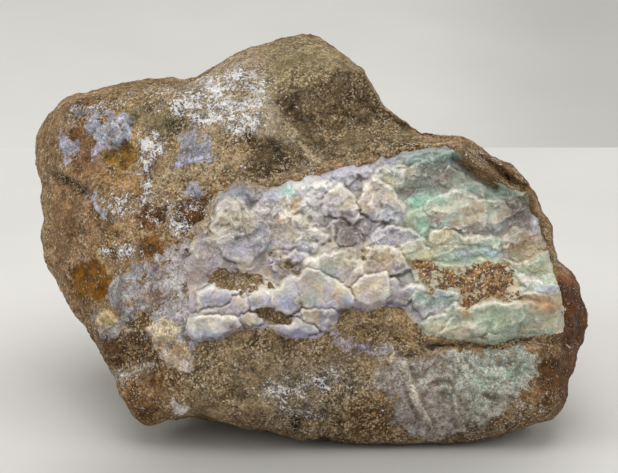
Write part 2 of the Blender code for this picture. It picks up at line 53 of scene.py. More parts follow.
# Outside of the rock, as (across, up) in mm from the stone's middle, going round
EDGE = [
    (-3.5, 56.5), (-1.5, 56.5), (5, 53), (12.5, 47.5), (15, 46), (16, 43), (19.5, 36.5), (24.5, 33),
    (29.5, 28.8), (36, 28.3), (40.5, 28.5), (44, 26.5), (50, 22.5), (52.5, 21.5), (55, 21), (59, 17),
    (61, 13.5), (62.5, 8.5), (65, 3.5), (66.5, -2.5), (67, -6), (70.5, -8.5), (73.6, -13), (73.2, -14.5),
    (76.3, -19.5), (76, -26.5), (74.6, -33.5), (71, -38.5), (70, -44), (67.5, -48), (63.5, -49.5),
    (58.5, -51), (49.5, -54.5), (39, -57), (28.5, -58), (18, -58.5), (7.5, -57.5), (-2.5, -55.5),
    (-10, -52.5), (-22, -50), (-29, -48.5), (-34, -48.5), (-38, -49), (-41.5, -50.5), (-46.5, -53),
    (-49.5, -50.5), (-52.5, -44.5), (-53.5, -37), (-58.5, -29), (-62, -22.5), (-68.5, -13.5), (-73, -4),
    (-73.5, 2.5), (-72.5, 4.5), (-72.5, 15.5), (-74, 19), (-75, 24), (-74.5, 28.5), (-71, 34),
    (-66.5, 38), (-59, 40), (-50, 42.5), (-41.5, 43.5), (-34.5, 43.5), (-30, 45), (-25, 48.5),
    (-16.5, 53), (-7, 56),
]
EDGE_TAPER = 0.06               # share by which the outline has drawn in
TAPER_OVER = 45.0               # at this distance from its widest plane
EDGE_DEPTH = 5.0                # how far forward the widest plane lies at the middle
EDGE_SLOPE = 20.0               # how far it comes forward towards the foot
EDGE_SWING = 12.0               # and towards the right
EDGE_ALLOWANCE = 0.5            # made up for what rounding takes off
QUARTERS_ROUND = 1440           # the outline is followed in quarter degrees
EDGE_BLUR = 3                   # and smoothed over this many either way
BACK_BLUR = 64                  # the back forgets the outline's notches over this many either way
BACK_DRAW_IN = 20.0             # and over this depth
FOOT_ALLOWANCE = 1.5            # the stone goes this far below its foot before that is cut flat
CORNER = 0.55                   # sharpness of the corners between breaks, per mm

# Broken faces, as a point on each and the way it looks (across, up, out)
BREAKS = [
    ((10, -3, 38.5), (0.06, 0.20, 1.0)),        # the opal's face
    ((10, -40, 40.0), (0.03, -0.10, 1.0)),      # sandy lower front
    ((-25, 15, 34.5), (-0.42, 0.36, 1.0)),      # upper left
    ((-58, 2, 25.0), (-1.3, 0.0, 0.9)),         # left end
    ((-42, -34, 36.0), (-0.45, -0.05, 1.0)),    # spur
    ((-45, -51, 27.0), (-0.45, -0.7, -0.5)),    # hollow under the spur
    ((-6, 42, 27.0), (-0.12, 0.85, 1.0)),       # peak
    ((70, -5, 30.0), (1.0, 0.1, 0.6)),          # right rim
    ((74, -30, 30.0), (1.0, -0.15, 0.5)),       # right foot
    ((0, 0, -43.0), (0.12, 0.15, -1.0)),        # back
    ((-45, 5, -36.0), (-0.65, 0.1, -0.9)),      # back left
    ((50, 0, -34.0), (0.7, 0.15, -0.85)),       # back right
    ((0, 36, -26.0), (0.1, 0.9, -0.75)),        # back of the peak
    ((10, -28, -44.0), (-0.15, -0.5, -1.0)),    # back foot
]

# Dark fresh break right of the peak: a recess with a wall at its back and a bench above the opal's lip
RECESS_WALL = ((-10.6, 36.8, 28.8), (-0.28, 0.10))     # a point on the wall, and its rise across and up
RECESS_RIDGE = ((-10.6, 36.8), (0.70, 0.71), 2.4)      # sharp ridge on its lower left, way in, fall per mm
RECESS_BENCH = ((2.7, 23.4), (-0.13, 0.99), 1.5)       # lip line along the opal, way in, fall per mm
RECESS_SOFTNESS = 0.55          # how far its edges are rounded

# Ridges and grooves: (points, half width, height)
CREASES = [
    ([(-13.5, 16.6), (-5, 18.3), (0, 19.6), (5, 21), (12, 22), (18, 23.8), (25, 25.4), (31, 26.2), (39, 26)],
     0.7, 0.7),                                                                      # lip over the opal
    ([(41, 25), (46, 21.4), (51, 18.2), (57, 15)], 4.5, 2.2),                        # bank of the rim
    ([(39.5, 22.3), (43, 19.8), (47, 16.8), (51, 14.4)], 1.0, -2.0),                 # groove by the opal
    ([(41.2, 24), (45, 21), (49, 18.4), (52, 16), (56, 13.8)], 1.2, 3.0),            # rim, inner ridge
    ([(43.5, 25.6), (47, 22.6), (50.5, 19.8), (54, 17), (58, 14.2)], 1.2, -4.4),     # rim, groove
    ([(47, 24), (51, 21), (56, 17.6), (60, 12.5)], 1.8, 2.6),                        # rim, outer ridge
    ([(61, 12), (63.4, 6), (65, 1), (66, -4)], 1.3, 2.4),                            # thin rim on the right
    ([(33, -28.8), (40, -28.7), (45, -28.6), (50, -29.8), (53, -29), (56, -27.6), (62, -27.4), (70, -28.2)],
     1.0, -2.0),                                                                     # crack under the opal
    ([(25, -32.4), (29, -31), (33, -28.8)], 1.2, -1.1),                              # its fading end
    ([(-70, 18), (-66, 15.7), (-61.5, 13.2)], 1.3, -2.4),                            # notch on the left
    ([(-68, 20), (-62, 17.5), (-57, 16)], 1.6, 0.9),                                 # brow above the notch
    ([(-30, -46), (-24, -45), (-15, -45.6), (-6, -47)], 1.2, 1.0),                   # ledge at the foot
    ([(-58, -24.5), (-50, -26.5), (-42, -26)], 2.0, 1.0),                            # shelf on the left
    ([(46, -34.6), (52, -34.2), (58, -33.2)], 0.9, -0.8),                            # fine crack
    ([(25.5, -34), (27.5, -39), (29.5, -45), (31.5, -50)], 0.9, 0.7),                # pale vein
    ([(-16, 26.4), (-11, 24.4), (-5, 23.4), (0, 22.6)], 3.6, -1.9),                  # hollow below the ridge
]

# Dents and swellings: (place, half sizes, height)
SWELLS = [
    ((69.8, -11.4), (3.6, 3.6), 4.0),           # knob on the right edge
    ((71, -21), (4.0, 5.5), 1.5),
    ((-50.5, 22), (5.5, 4.0), -2.2),            # amber hollow
    ((-61.5, 24), (4.5, 7.0), -1.4),            # smooth pool
    ((-56, 31), (6.0, 3.2), 1.2),               # banded patch
    ((-38, -27), (5.5, 6.5), 1.8),              # cream blob
    ((-45, -43), (7.0, 6.0), 2.0),              # spur
    ((-68, 3), (6.0, 6.0), 1.0),
    ((20, -22.5), (8.0, 2.4), 1.2),             # sandy crest under the opal
    ((10, -26), (6.0, 2.6), -1.2),
    ((-22, -10.8), (7.0, 2.6), -2.2),           # sandy hollow between the opal lumps
    ((-5, 48), (7.0, 5.0), 1.2),
]

# Bed of the opal: the rock runs on under it, a little lower than the face around it
SEAM_EDGE = [
    (-22, 16.3), (-17, 17), (-12, 16), (-5, 17.3), (0, 18.6), (5, 20), (12, 21), (18, 22.7), (25, 24.3),
    (32, 25), (37, 25.4), (40.4, 23), (43.4, 19.8), (46.6, 17), (50.6, 14.8), (55.4, 13.6), (59.2, 12.4),
    (61.4, 8.6), (63, 4.6), (63.8, 0), (65.6, -4), (66.8, -9), (68.4, -13.4), (69, -18.5), (69, -25),
    (66.2, -26.4), (60, -26.5), (54.5, -26.8), (50, -28.4), (44, -27.8), (38, -27.4), (33, -26.2),
    (29, -22.6), (24, -19.2), (17, -19.9), (10, -20.6), (8, -24.6), (3, -28.8), (-4, -28.4),
    (-10, -25.6), (-16, -26), (-24, -28.6), (-33, -29.6), (-35, -24), (-35, -14), (-36.5, -5),
    (-34, 1), (-30, 6), (-27, 11.5),
]
BED_SINK = 1.3                  # how much lower
OUTLINE_TRIM = 0.9              # taken off all round, where bumps would swell the outline
FOOT_TUCK = 5.5                 # how far the lower edge of the face draws back to meet the table

NOISE_SEED = 41
LATTICE = 32                    # values along each side of the noise's lattice
GRAIN_LATTICE = 24              # and of the lattice of chips
BALL_LEVEL = 6                  # how finely the ball is cut that the stone is made from
BALL_SIZES = (75.0, 50.0, 42.0)
FACE_CUTS = 3                   # further cuts across each edge on the face
BACK_CUTS = 1                   # and on the back
LONGEST = 130.0                 # no part of the stone lies further than this from its middle
HALVINGS = 22                   # steps in which its surface is looked for
COARSE_FROM = 3.5               # rock this far within the opal's edge is out of sight and stays coarse
FACE_FROM = 6.0                 # the face is cut finer from here forwards
SKIN_TO_FACE = (2.0, 12.0)      # depths between which weathered skin gives way to the broken face


def smooth_step(value, low, high):
    """Rise smoothly from 0 at low to 1 at high."""
    share = np.clip((value - low) / (high - low), 0.0, 1.0)
    return share * share * (3.0 - 2.0 * share)


def lattice_noise(places, cell, seed):
    """Smooth noise between -1 and 1, from random values on a cubic lattice."""
    values = np.random.RandomState(seed).uniform(-1.0, 1.0, (LATTICE, LATTICE, LATTICE))
    scaled = places / cell
    corner = np.floor(scaled).astype(int)
    part = scaled - corner
    part = part * part * (3.0 - 2.0 * part)
    total = np.zeros(len(places))
    for step in np.ndindex(2, 2, 2):
        near_x, near_y, near_z = np.abs(1 - np.array(step) - part).T
        x, y, z = ((corner + step) % LATTICE).T
        total += near_x * near_y * near_z * values[x, y, z]
    return total


def grit(places, cell, seed, layers, keep=0.5):
    """Layers of noise, each half the size of the one before."""
    total = np.zeros(len(places))
    height = 1.0
    for layer in range(layers):
        total += height * lattice_noise(places + 17.3 * layer, cell, seed + layer)
        cell /= 2.0
        height *= keep
    return total


def grains_around(places, cell, seed, jitter):
    """For each of the 27 cells around a place: the cell's own seven chances, and the way from its point."""
    dice = np.random.RandomState(seed)
    turned = np.linalg.qr(dice.normal(size=(3, 3)))[0]
    chance = dice.uniform(-1.0, 1.0, (GRAIN_LATTICE, GRAIN_LATTICE, GRAIN_LATTICE, 7))
    scaled = places @ turned / cell
    corner = np.floor(scaled).astype(int)
    for step in np.ndindex(3, 3, 3):
        at = corner + step - 1
        x, y, z = (at % GRAIN_LATTICE).T
        own = chance[x, y, z]
        yield own, scaled - at - 0.5 - jitter * own[:, :3]


def chips(places, cell, seed, lean, roundness, steepness=0.8):
    """Broken surface of chips: each lattice cell holds one tilted point, and the highest shows.
    Gives the height, about 0 to 1, and a chance from -1 to 1 that each chip keeps to itself."""
    highest = np.full(len(places), -9.0)
    owner = np.zeros(len(places))
    for own, offset in grains_around(places, cell, seed, 0.5):
        apart = np.sum(offset * offset, axis=1) ** (0.5 * roundness)
        tilted = np.sum(offset * own[:, 3:6], axis=1)
        height = 0.3 * own[:, 6] + lean * tilted - steepness * apart
        owner = np.where(height > highest, own[:, 5], owner)
        highest = np.maximum(highest, height)
    return highest + 0.5, owner


def ruggedness(places):
    """Broad and medium unevenness of the broken stone, in mm."""
    return 1.0 * lattice_noise(places, 15.0, NOISE_SEED) + 0.5 * lattice_noise(places, 6.5, NOISE_SEED + 1)


def segment_distance(across, up, start, end):
    """Distance from places on the face to a straight segment."""
    along = np.subtract(end, start)
    share = ((across - start[0]) * along[0] + (up - start[1]) * along[1]) / np.dot(along, along)
    share = np.clip(share, 0.0, 1.0)
    return np.hypot(across - start[0] - share * along[0], up - start[1] - share * along[1])


def crease_distance(across, up, points):
    """Distance to a run of straight segments."""
    return np.min([segment_distance(across, up, a, b) for a, b in zip(points, points[1:])], axis=0)


def inside_distance(across, up, outline):
    """Distance to a closed outline, positive inside it."""
    inside = np.zeros(len(across), bool)
    nearest = np.full(len(across), 1e9)
    for (ax, ay), (bx, by) in zip(outline, outline[1:] + outline[:1]):
        nearest = np.minimum(nearest, segment_distance(across, up, (ax, ay), (bx, by)))
        if ay != by:
            crosses = (ay > up) != (by > up)
            inside ^= crosses & (across < ax + (up - ay) * (bx - ax) / (by - ay))
    return np.where(inside, nearest, -nearest)


def blob(across, up, place, size):
    """Soft round patch, 1 at its middle."""
    return np.exp(-((across - place[0]) / size[0]) ** 2 - ((up - place[1]) / size[1]) ** 2)


def blobs(across, up, patches):
    """Sum of soft round patches, each given as (place, half sizes, amount)."""
    return sum(amount * blob(across, up, place, size) for place, size, amount in patches)


def soft_line(across, up, points, half_width):
    """Soft line along a run of straight segments, 1 at its middle."""
    return np.exp(-(crease_distance(across, up, points) / half_width) ** 2)


def edge_reach(bearing, behind):
    """Distance from the middle to the outline, drawing in to a plainer form behind the widest plane."""
    points = np.array(EDGE)
    bearings = np.arctan2(points[:, 1], points[:, 0])
    order = np.argsort(bearings)
    fine = np.linspace(-math.pi, math.pi, QUARTERS_ROUND + 1)
    reach = np.interp(fine, bearings[order], np.hypot(points[:, 0], points[:, 1])[order], period=2 * math.pi)
    around = np.arange(QUARTERS_ROUND)[:, None]
    near = (around + np.arange(-EDGE_BLUR, EDGE_BLUR + 1)) % QUARTERS_ROUND
    wide = (around + np.arange(-BACK_BLUR, BACK_BLUR + 1)) % QUARTERS_ROUND
    fitted = reach[near].mean(axis=1)
    plain = reach[wide].min(axis=1)[wide].mean(axis=1)
    fitted = np.interp(bearing, fine[:-1], fitted, period=2 * math.pi)
    plain = np.interp(bearing, fine[:-1], plain, period=2 * math.pi)
    return fitted + (plain - fitted) * smooth_step(behind, 0.0, BACK_DRAW_IN)


def beyond_breaks(places):
    """How far places lie outside the plain broken stone, negative within it."""
    bearing = np.arctan2(places[:, 1], places[:, 0])
    widest = EDGE_DEPTH - EDGE_SLOPE * np.sin(bearing) + EDGE_SWING * np.cos(bearing)
    taper = 1.0 - EDGE_TAPER * ((places[:, 2] - widest) / TAPER_OVER) ** 2
    reach = edge_reach(bearing, widest - places[:, 2]) + EDGE_ALLOWANCE
    beyond = [np.hypot(places[:, 0], places[:, 1]) - reach * taper]
    for point, facing in BREAKS:
        beyond.append((places - np.array(point)) @ (np.array(facing) / np.linalg.norm(facing)))
    under = np.array([0.0, -math.cos(LEAN), -math.sin(LEAN)])
    beyond.append(places @ under - MIDDLE_HEIGHT - FOOT_ALLOWANCE)
    beyond = np.array(beyond)
    return np.log(np.sum(np.exp(CORNER * np.clip(beyond, -60, 60)), axis=0)) / CORNER


def surface_along(starts, directions, longest):
    """Distance from each start to the plain stone's surface, found by halving."""
    low = np.zeros(len(starts))
    high = np.full(len(starts), longest)
    for _ in range(HALVINGS):
        middle = (low + high) / 2
        outside = beyond_breaks(starts + directions * middle[:, None]) > 0
        high = np.where(outside, middle, high)
        low = np.where(outside, low, middle)
    return (low + high) / 2


def softer_of(first, second, softness, sign):
    """Larger (sign 1) or smaller (sign -1) of two depths, rounded where they meet."""
    gap = np.abs(first - second)
    blend = np.maximum(softness - gap, 0.0) ** 2 / (4.0 * softness)
    return sign * (np.maximum(sign * first, sign * second) + blend)


def rock_face(across, up, depth):
    """Depth of the face once the recess, ridges, grooves, dents and swellings are worked in.
    Also gives the height of the ridges, grooves, dents and swellings."""
    (wall_across, wall_up, wall_depth), slope = RECESS_WALL
    wall = wall_depth + (across - wall_across) * slope[0] + (up - wall_up) * slope[1]
    (point, inward, fall) = RECESS_RIDGE
    from_ridge = (across - point[0]) * inward[0] + (up - point[1]) * inward[1]
    (point, inward, bench_fall) = RECESS_BENCH
    from_lip = (across - point[0]) * inward[0] + (up - point[1]) * inward[1]
    recess = softer_of(wall, depth - bench_fall * from_lip, RECESS_SOFTNESS * 3, 1)
    recess = softer_of(recess, depth - fall * from_ridge, RECESS_SOFTNESS, 1)
    within = (from_ridge > 0) & (from_lip > 0)
    worked = np.where(within, softer_of(depth, recess, RECESS_SOFTNESS, -1), depth)
    relief = np.zeros(len(across))
    for points, half_width, height in CREASES:
        relief += height * soft_line(across, up, points, half_width)
    for place, size, height in SWELLS:
        relief += height * blob(across, up, place, size)
    fading = 2.0 + 10.0 * smooth_step(across, -55.0, -35.0)
    relief *= smooth_step(depth - fading, 0.0, 10.0)
    return worked + relief, relief


def squeeze(places):
    """From the face's layout to true mm, as sight lines draw together towards the front."""
    shrunk = 1 - places[:, 2] / REACH
    return places * np.column_stack([shrunk, shrunk, np.ones(len(places))])


def standing(places):
    """From (across, up, out) in mm to metres in the room, leaned back and standing on the table."""
    true = squeeze(places)
    back = true[:, 1] * math.sin(LEAN) - true[:, 2] * math.cos(LEAN)
    height = MIDDLE_HEIGHT + true[:, 1] * math.cos(LEAN) + true[:, 2] * math.sin(LEAN)
    return np.column_stack([true[:, 0], back, height]) * MM


def add_piece(name, shape):
    """New smooth-shaded object from a mesh under construction, every face cut to triangles."""
    bmesh.ops.triangulate(shape, faces=[face for face in shape.faces if len(face.verts) > 3])
    for face in shape.faces:
        face.smooth = True
    mesh = bpy.data.meshes.new(name)
    shape.to_mesh(mesh)
    shape.free()
    piece = bpy.data.objects.new(name, mesh)
    bpy.context.scene.collection.objects.link(piece)
    return piece


def paint(mesh, name, values):
    """Keep a colour or an amount for every point of the mesh, for its material to use."""
    if values.ndim == 2:
        layer = mesh.attributes.new(name, "FLOAT_COLOR", "POINT")
        opaque = np.column_stack([values, np.ones(len(values))])
        layer.data.foreach_set("color", opaque.astype(np.float32).ravel())
    else:
        layer = mesh.attributes.new(name, "FLOAT", "POINT")
        layer.data.foreach_set("value", values.astype(np.float32))


def light_of(colour):
    """Linear light of a colour given in 0 to 255 steps."""
    share = np.array(colour) / 255.0
    return np.where(share <= 0.04045, share / 12.92, ((share + 0.055) / 1.055) ** 2.4)


def mixed(first, second, share):
    """Between two colours, point by point."""
    return first + (second - first) * share[:, None]


def tinted(colours, tint, share):
    """Colours drawn towards one tint, given in 0 to 255 steps."""
    return mixed(colours, light_of(tint), share)


# A ball is cut finer over the face, then every point goes out to the stone's surface
ball = bmesh.new()
bmesh.ops.create_icosphere(ball, subdivisions=BALL_LEVEL, radius=1.0)


def ball_directions(shape):
    """Way out of the stone's middle for each point of the ball."""
    spots = np.array([vertex.co[:] for vertex in shape.verts]) * np.array(BALL_SIZES)
    return spots / np.linalg.norm(spots, axis=1)[:, None]


directions = ball_directions(ball)
rough_places = directions * surface_along(np.zeros_like(directions), directions, LONGEST)[:, None]
hidden = inside_distance(rough_places[:, 0], rough_places[:, 1], SEAM_EDGE) > COARSE_FROM
on_face = (rough_places[:, 2] > FACE_FROM) & ~hidden
ball.verts.ensure_lookup_table()
face_edges = [edge for edge in ball.edges if all(on_face[vertex.index] for vertex in edge.verts)]
in_front = on_face | (hidden & (rough_places[:, 2] > 0))
back_edges = [edge for edge in ball.edges if not any(in_front[vertex.index] for vertex in edge.verts)]
bmesh.ops.subdivide_edges(ball, edges=face_edges, cuts=FACE_CUTS, use_grid_fill=True)
back_edges = [edge for edge in back_edges if edge.is_valid]
bmesh.ops.subdivide_edges(ball, edges=back_edges, cuts=BACK_CUTS, use_grid_fill=True)

directions = ball_directions(ball)
distances = surface_along(np.zeros_like(directions), directions, LONGEST)
places = directions * distances[:, None]
places += directions * ruggedness(places)[:, None]
front = smooth_step(places[:, 2], *SKIN_TO_FACE)
worked, ridged = rock_face(places[:, 0], places[:, 1], places[:, 2])
places[:, 2] += front * (worked - places[:, 2])
places[:, 2] -= FOOT_TUCK * smooth_step(-places[:, 1], 42.0, 57.0) * front
across, up, out = places.T

# Where the rock is smooth, and where it is gritty: (place, half sizes, amount)
SMOOTH_FACES = [
    ((-66, 4), (8, 10), 0.85), ((-61, 24), (4, 8), 0.9), ((-4, 49), (10, 7), 0.75), ((-46, -43), (8, 8), 0.6),
    ((68, -36), (6, 12), 0.5), ((-12, 33), (6, 8), 0.65), ((-25, 37), (9, 7), 0.4), ((-48, 42), (16, 4), 0.6),
    ((46, -40), (15, 9), 0.35), ((28, -42), (7, 9), 0.2),
    ((50, 20), (12, 8), 0.5), ((70, -14), (5, 8), 0.6), ((60, 8), (5, 14), 0.4), ((-72, 25), (5, 12), 0.4),
]
GRITTY_FACES = [
    ((8, 33), (13, 8), 1.0), ((-20, -36), (14, 7), 0.7), ((4, -42), (16, 9), 0.9), ((48, 20), (9, 5), 0.5),
]

# Fresh break right of the peak, its left corner under the ridge darkened with painted shade
FRESH_BREAK = [
    (-9.5, 37.6), (-5.5, 40.5), (-0.8, 43.6), (6.8, 45.5), (11.2, 46.9), (15.5, 44.7), (19.1, 39.6),
    (29.5, 28.2), (29.5, 27), (15.5, 23.6), (3, 20.6), (-1.5, 26), (-5.2, 31.1),
]
in_break = inside_distance(across, up, FRESH_BREAK)

# Places shifted a little to and fro, so that the borders of patches wander
bent_across = across + 1.4 * lattice_noise(places, 5.5, 100) + 0.9 * grit(places, 2.2, 101, 2, 0.6)
bent_up = up + 1.4 * lattice_noise(places, 5.5, 104) + 0.9 * grit(places, 2.2, 105, 2, 0.6)

# Films of opal over the rock: (outline, colour)
LILAC_FILM = (158, 158, 174)
YELLOW_KNOB = [(-56.7, -20.2), (-54.5, -19.1), (-52.4, -21.3), (-54.5, -23.5), (-57.3, -22.9)]
CREAM_BLOB = [
    (-43.9, -25.1), (-41.5, -22.9), (-38.2, -22.6), (-36, -24), (-35.5, -26.7), (-33.3, -28.4),
    (-32.7, -31.1), (-31.9, -34.9), (-34.4, -36), (-38.7, -33.8), (-40.9, -32.2), (-41.5, -28.4),
]
FILMS = [
    ([(-65, 34.9), (-60.5, 36.2), (-55, 36), (-50.5, 34.2), (-48, 31), (-47.4, 27.4), (-50.5, 25.2),
      (-54.5, 24.8), (-58.2, 25.6), (-59.6, 29), (-62.4, 32.2)], (154, 156, 170)),
    ([(-69, 27.3), (-66.8, 30), (-64.6, 28.9), (-62.4, 26.2), (-62.1, 24.3), (-64.6, 24.3), (-66.3, 22.9),
      (-67.4, 24.5), (-68.7, 26.2)], LILAC_FILM),
    ([(-66.8, 21.8), (-64.6, 21.8), (-65.4, 19.6), (-66.5, 20.2)], (150, 136, 150)),
    ([(-57.5, 26.2), (-55.9, 25.1), (-56.7, 22.4), (-58.4, 20.2), (-59.7, 21.8), (-58.4, 23.5)],
      (166, 158, 172)),
    ([(-36.3, 27.3), (-33.8, 29.7), (-31.1, 30.5), (-28.4, 28.6), (-26.7, 25.6), (-27.8, 21.8), (-30, 20.2),
      (-33.3, 20.2), (-36.3, 19.4), (-36.5, 21.8), (-35.7, 24)], (146, 146, 158)),
    ([(-36.3, 21.3), (-32.7, 21.8), (-25.6, 21.8), (-29, 20.6), (-32.7, 19.6), (-36, 19.1)], (164, 164, 186)),
    ([(-34.4, 13.1), (-31.6, 14.5), (-28.4, 13.4), (-30, 12.3), (-33.3, 12)], (152, 156, 174)),
    ([(-59.5, 12), (-58.1, 12.5), (-56.7, 9.8), (-55.6, 6.3), (-57.3, 7.1), (-58.6, 9.3)], (168, 170, 188)),
    ([(-54.5, -10.9), (-52.4, -9.5), (-45.8, -7.6), (-38.2, -5.5), (-33.5, -1), (-30, -4), (-30, -13.6),
      (-31, -19.1), (-36, -23.5), (-41.5, -21.3), (-45.3, -19.1), (-50.2, -21.3), (-52.9, -19.1),
      (-54.5, -15.3)], (130, 126, 128)),
    ([(-41, -6), (-35, -1.5), (-30, -5), (-30, -30), (-36, -32), (-41, -26), (-44, -18)], (160, 154, 156)),
    ([(-60, -19.1), (-57.5, -18.4), (-52.4, -21.3), (-48, -24), (-50.2, -26.2), (-54.5, -26.7),
      (-58.4, -24.5)], (138, 130, 124)),
    (YELLOW_KNOB, (184, 164, 122)),
    (CREAM_BLOB, (198, 180, 152)),
    ([(7.1, -24.5), (11.5, -27.8), (15.8, -28.4), (23.5, -29.2), (23.5, -31.1), (19.1, -30.5), (13.6, -30),
      (9.8, -30.5), (7.6, -28.4), (5.5, -25.6)], (150, 136, 142)),
    ([(19.1, -30.9), (22.9, -31), (23, -33.3), (19.4, -33)], (204, 190, 166)),
    ([(17.5, -34.4), (23, -32.2), (28.4, -32.9), (32.7, -31), (46.4, -30.2), (56.2, -29.7), (62.7, -30.3),
      (63.8, -32.7), (62.7, -38.7), (58.4, -42), (54.5, -46.4), (46.4, -49.6), (42, -51.8), (36, -53),
      (32.7, -54), (27.8, -54.5), (23.5, -50.7), (22, -45.3), (17.5, -38.7)], (140, 131, 118)),
    ([(-38.2, -44), (-35, -43.4), (-33.3, -45.5), (-35, -47.5), (-37.6, -46.6)], (196, 188, 180)),
]
film_cover = np.zeros(len(places))
film = np.tile(light_of((165, 165, 168)), (len(places), 1))
for outline, colour in FILMS:
    border = 1.6 + 1.0 * smooth_step(across, 0.0, 12.0)
    cover = smooth_step(inside_distance(bent_across, bent_up, outline), -border, border) * front
    film = tinted(film, colour, smooth_step(cover, 0.1, 0.6))
    film_cover = np.maximum(film_cover, cover)

# Pools of brown and amber glass, sunken with a clear edge: (outline, depth)
HIGH_POOL = [
    (-55.4, 22.4), (-53.4, 25.1), (-50.7, 26.2), (-48, 25.6), (-46.1, 24), (-46.9, 21.3), (-49.1, 19.1),
    (-52.4, 19.4), (-54.5, 20.7),
]
LOW_POOL = [
    (-67.1, -9.3), (-63.3, -7.6), (-60.5, -4.9), (-57.8, -4.4), (-55.1, -8.2), (-54.5, -13.6),
    (-55.6, -17.5), (-59.5, -16.4), (-61.6, -14.7), (-64.9, -15.3), (-66, -12),
]
RIGHT_POOL = [
    (-36.3, 8.5), (-33.8, 11.5), (-30, 12), (-27, 9.5), (-28, 4.9), (-30.5, 1.2), (-33.8, 0.8), (-36.4, 3.8),
]
MIDDLE_POOL = [(-47.4, 5), (-44.7, 9), (-41.5, 10), (-37.8, 7.6), (-39, 3.6), (-43.1, 1.8), (-46.8, 2)]
POOLS = [(HIGH_POOL, 1.5), (LOW_POOL, 0.8), (RIGHT_POOL, 1.0), (MIDDLE_POOL, 0.8)]
sunken = np.zeros(len(places))
for outline, depth in POOLS:
    sunken += depth * smooth_step(inside_distance(bent_across, bent_up, outline), -0.5, 0.8)

calm = np.clip(blobs(across, up, SMOOTH_FACES), 0, 0.9)
calm = np.maximum(calm, 0.55 * smooth_step(in_break, -0.5, 1.5)) * front
gritty = np.clip(blobs(across, up, GRITTY_FACES), 0, 1) * front
under_opal = inside_distance(across, up, SEAM_EDGE)

# Relief of the broken stone, in mm, with chips of four sizes: (size, seed, height, lean, roundness)
CHIPS = [
    (9.5, 80, 0.75, 1.2, 1.6), (3.6, 81, 0.42, 1.1, 1.5), (2.6, 82, -0.36, 1.1, 1.5),
    (1.5, 83, 0.30, 1.1, 1.5),
]
CHIP_MIDDLE = 0.45              # height of a chip that leaves the surface where it is
fine = 0.24 * grit(places, 4.2, 60, 2) + 0.22 * grit(places, 1.7, 70, 2, 0.7)
for size, seed, height, lean, roundness in CHIPS:
    fine += height * (chips(places, size, seed, lean, roundness)[0] - CHIP_MIDDLE)
level_here = np.maximum(calm, 0.9 * blob(across, up, (44, -40), (22, 14)))
fine = fine * (1.0 - 0.6 * level_here) + gritty * 0.42 * grit(places, 1.5, 90, 2, 0.8)
detail = fine.copy()
film_relief = 0.4 * film_cover * (1.0 + 0.6 * (1.0 - level_here) * grit(places, 2.0, 92, 2, 0.6))
fine += front * (film_relief - sunken)
sink_from = 1.0 - 1.6 * smooth_step(across, 15.0, 28.0)
fine -= BED_SINK * smooth_step(under_opal, sink_from, sink_from + 2.2) * front

spots = standing(places)
for vertex, spot in zip(ball.verts, spots):
    vertex.co = spot
host_rock = add_piece("host_rock", ball)
normals = np.zeros(len(spots) * 3, np.float32)
host_rock.data.vertex_normals.foreach_get("vector", normals)
outward = normals.reshape(-1, 3)
if np.sum(outward * (spots - spots.mean(axis=0))) < 0:
    host_rock.data.flip_normals()
    outward = -outward
out_of_face = np.array([0.0, -math.cos(LEAN), math.sin(LEAN)])
edge_on = 1.0 - np.abs(outward @ out_of_face)
fine -= OUTLINE_TRIM * edge_on
spots += outward * (fine * MM)[:, None]
spots[:, 2] = np.maximum(spots[:, 2], 0.0)
host_rock.data.vertices.foreach_set("co", spots.astype(np.float32).ravel())
host_rock.data.update()

# Body colour of the rock: (place, half sizes, colour), each holding sway around its place.
# The two dark strips along the foot, at (10, -51) and (50, -52), are painted shade where the face tucks
# under.
SKIN = (122, 94, 64)
GROUNDS = [
    ((-67, 4), (8, 10), (125, 92, 62)), ((-68, 33), (8, 6), (132, 104, 74)),
    ((-46, 40), (13, 4), (134, 109, 76)), ((-60, 24), (4, 8), (120, 88, 58)),
    ((-42, 33), (9, 4), (112, 104, 82)), ((-25, 38), (9, 8), (152, 136, 112)),
    ((-18, 44), (6, 8), (156, 138, 114)), ((-3, 50), (9, 6), (137, 123, 91)),
    ((8, 43), (8, 4), (124, 107, 80)), ((14, 25.5), (14, 2.5), (80, 64, 44)),
    ((-10, 25), (8, 3.5), (60, 48, 34)), ((-12, 31), (3, 6), (158, 142, 120)),
    ((-46, 10), (10, 8), (132, 102, 68)), ((-33, 19), (7, 7), (150, 124, 88)),
    ((-31, 7), (5, 5), (98, 68, 34)), ((-48, -29), (10, 5), (90, 61, 37)),
    ((-46, -42), (8, 8), (104, 71, 36)), ((-22, -36), (14, 7), (106, 93, 73)),
    # the strip along the foot, at (10, -51), is painted shade
    ((0, -40), (14, 7), (120, 110, 94)), ((10, -51), (16, 4), (52, 36, 18)),
    ((16, -47), (6, 5), (122, 88, 50)), ((30, -40), (8, 8), (144, 128, 112)),
    ((50, 20), (9, 4), (112, 86, 60)), ((70, -20), (4, 10), (78, 47, 21)), ((68, -38), (6, 8), (84, 51, 24)),
    # the strip along the foot, at (50, -52), is painted shade
    ((50, -52), (14, 4), (72, 52, 34)), ((64, 2), (3, 8), (96, 72, 52)),
    ((-20, -10.5), (8, 3), (100, 74, 42)), ((20, -23), (12, 4), (150, 124, 90)),
    ((-60, -18), (6, 8), (112, 82, 56)), ((-45, -2), (9, 5), (112, 84, 54)),
]

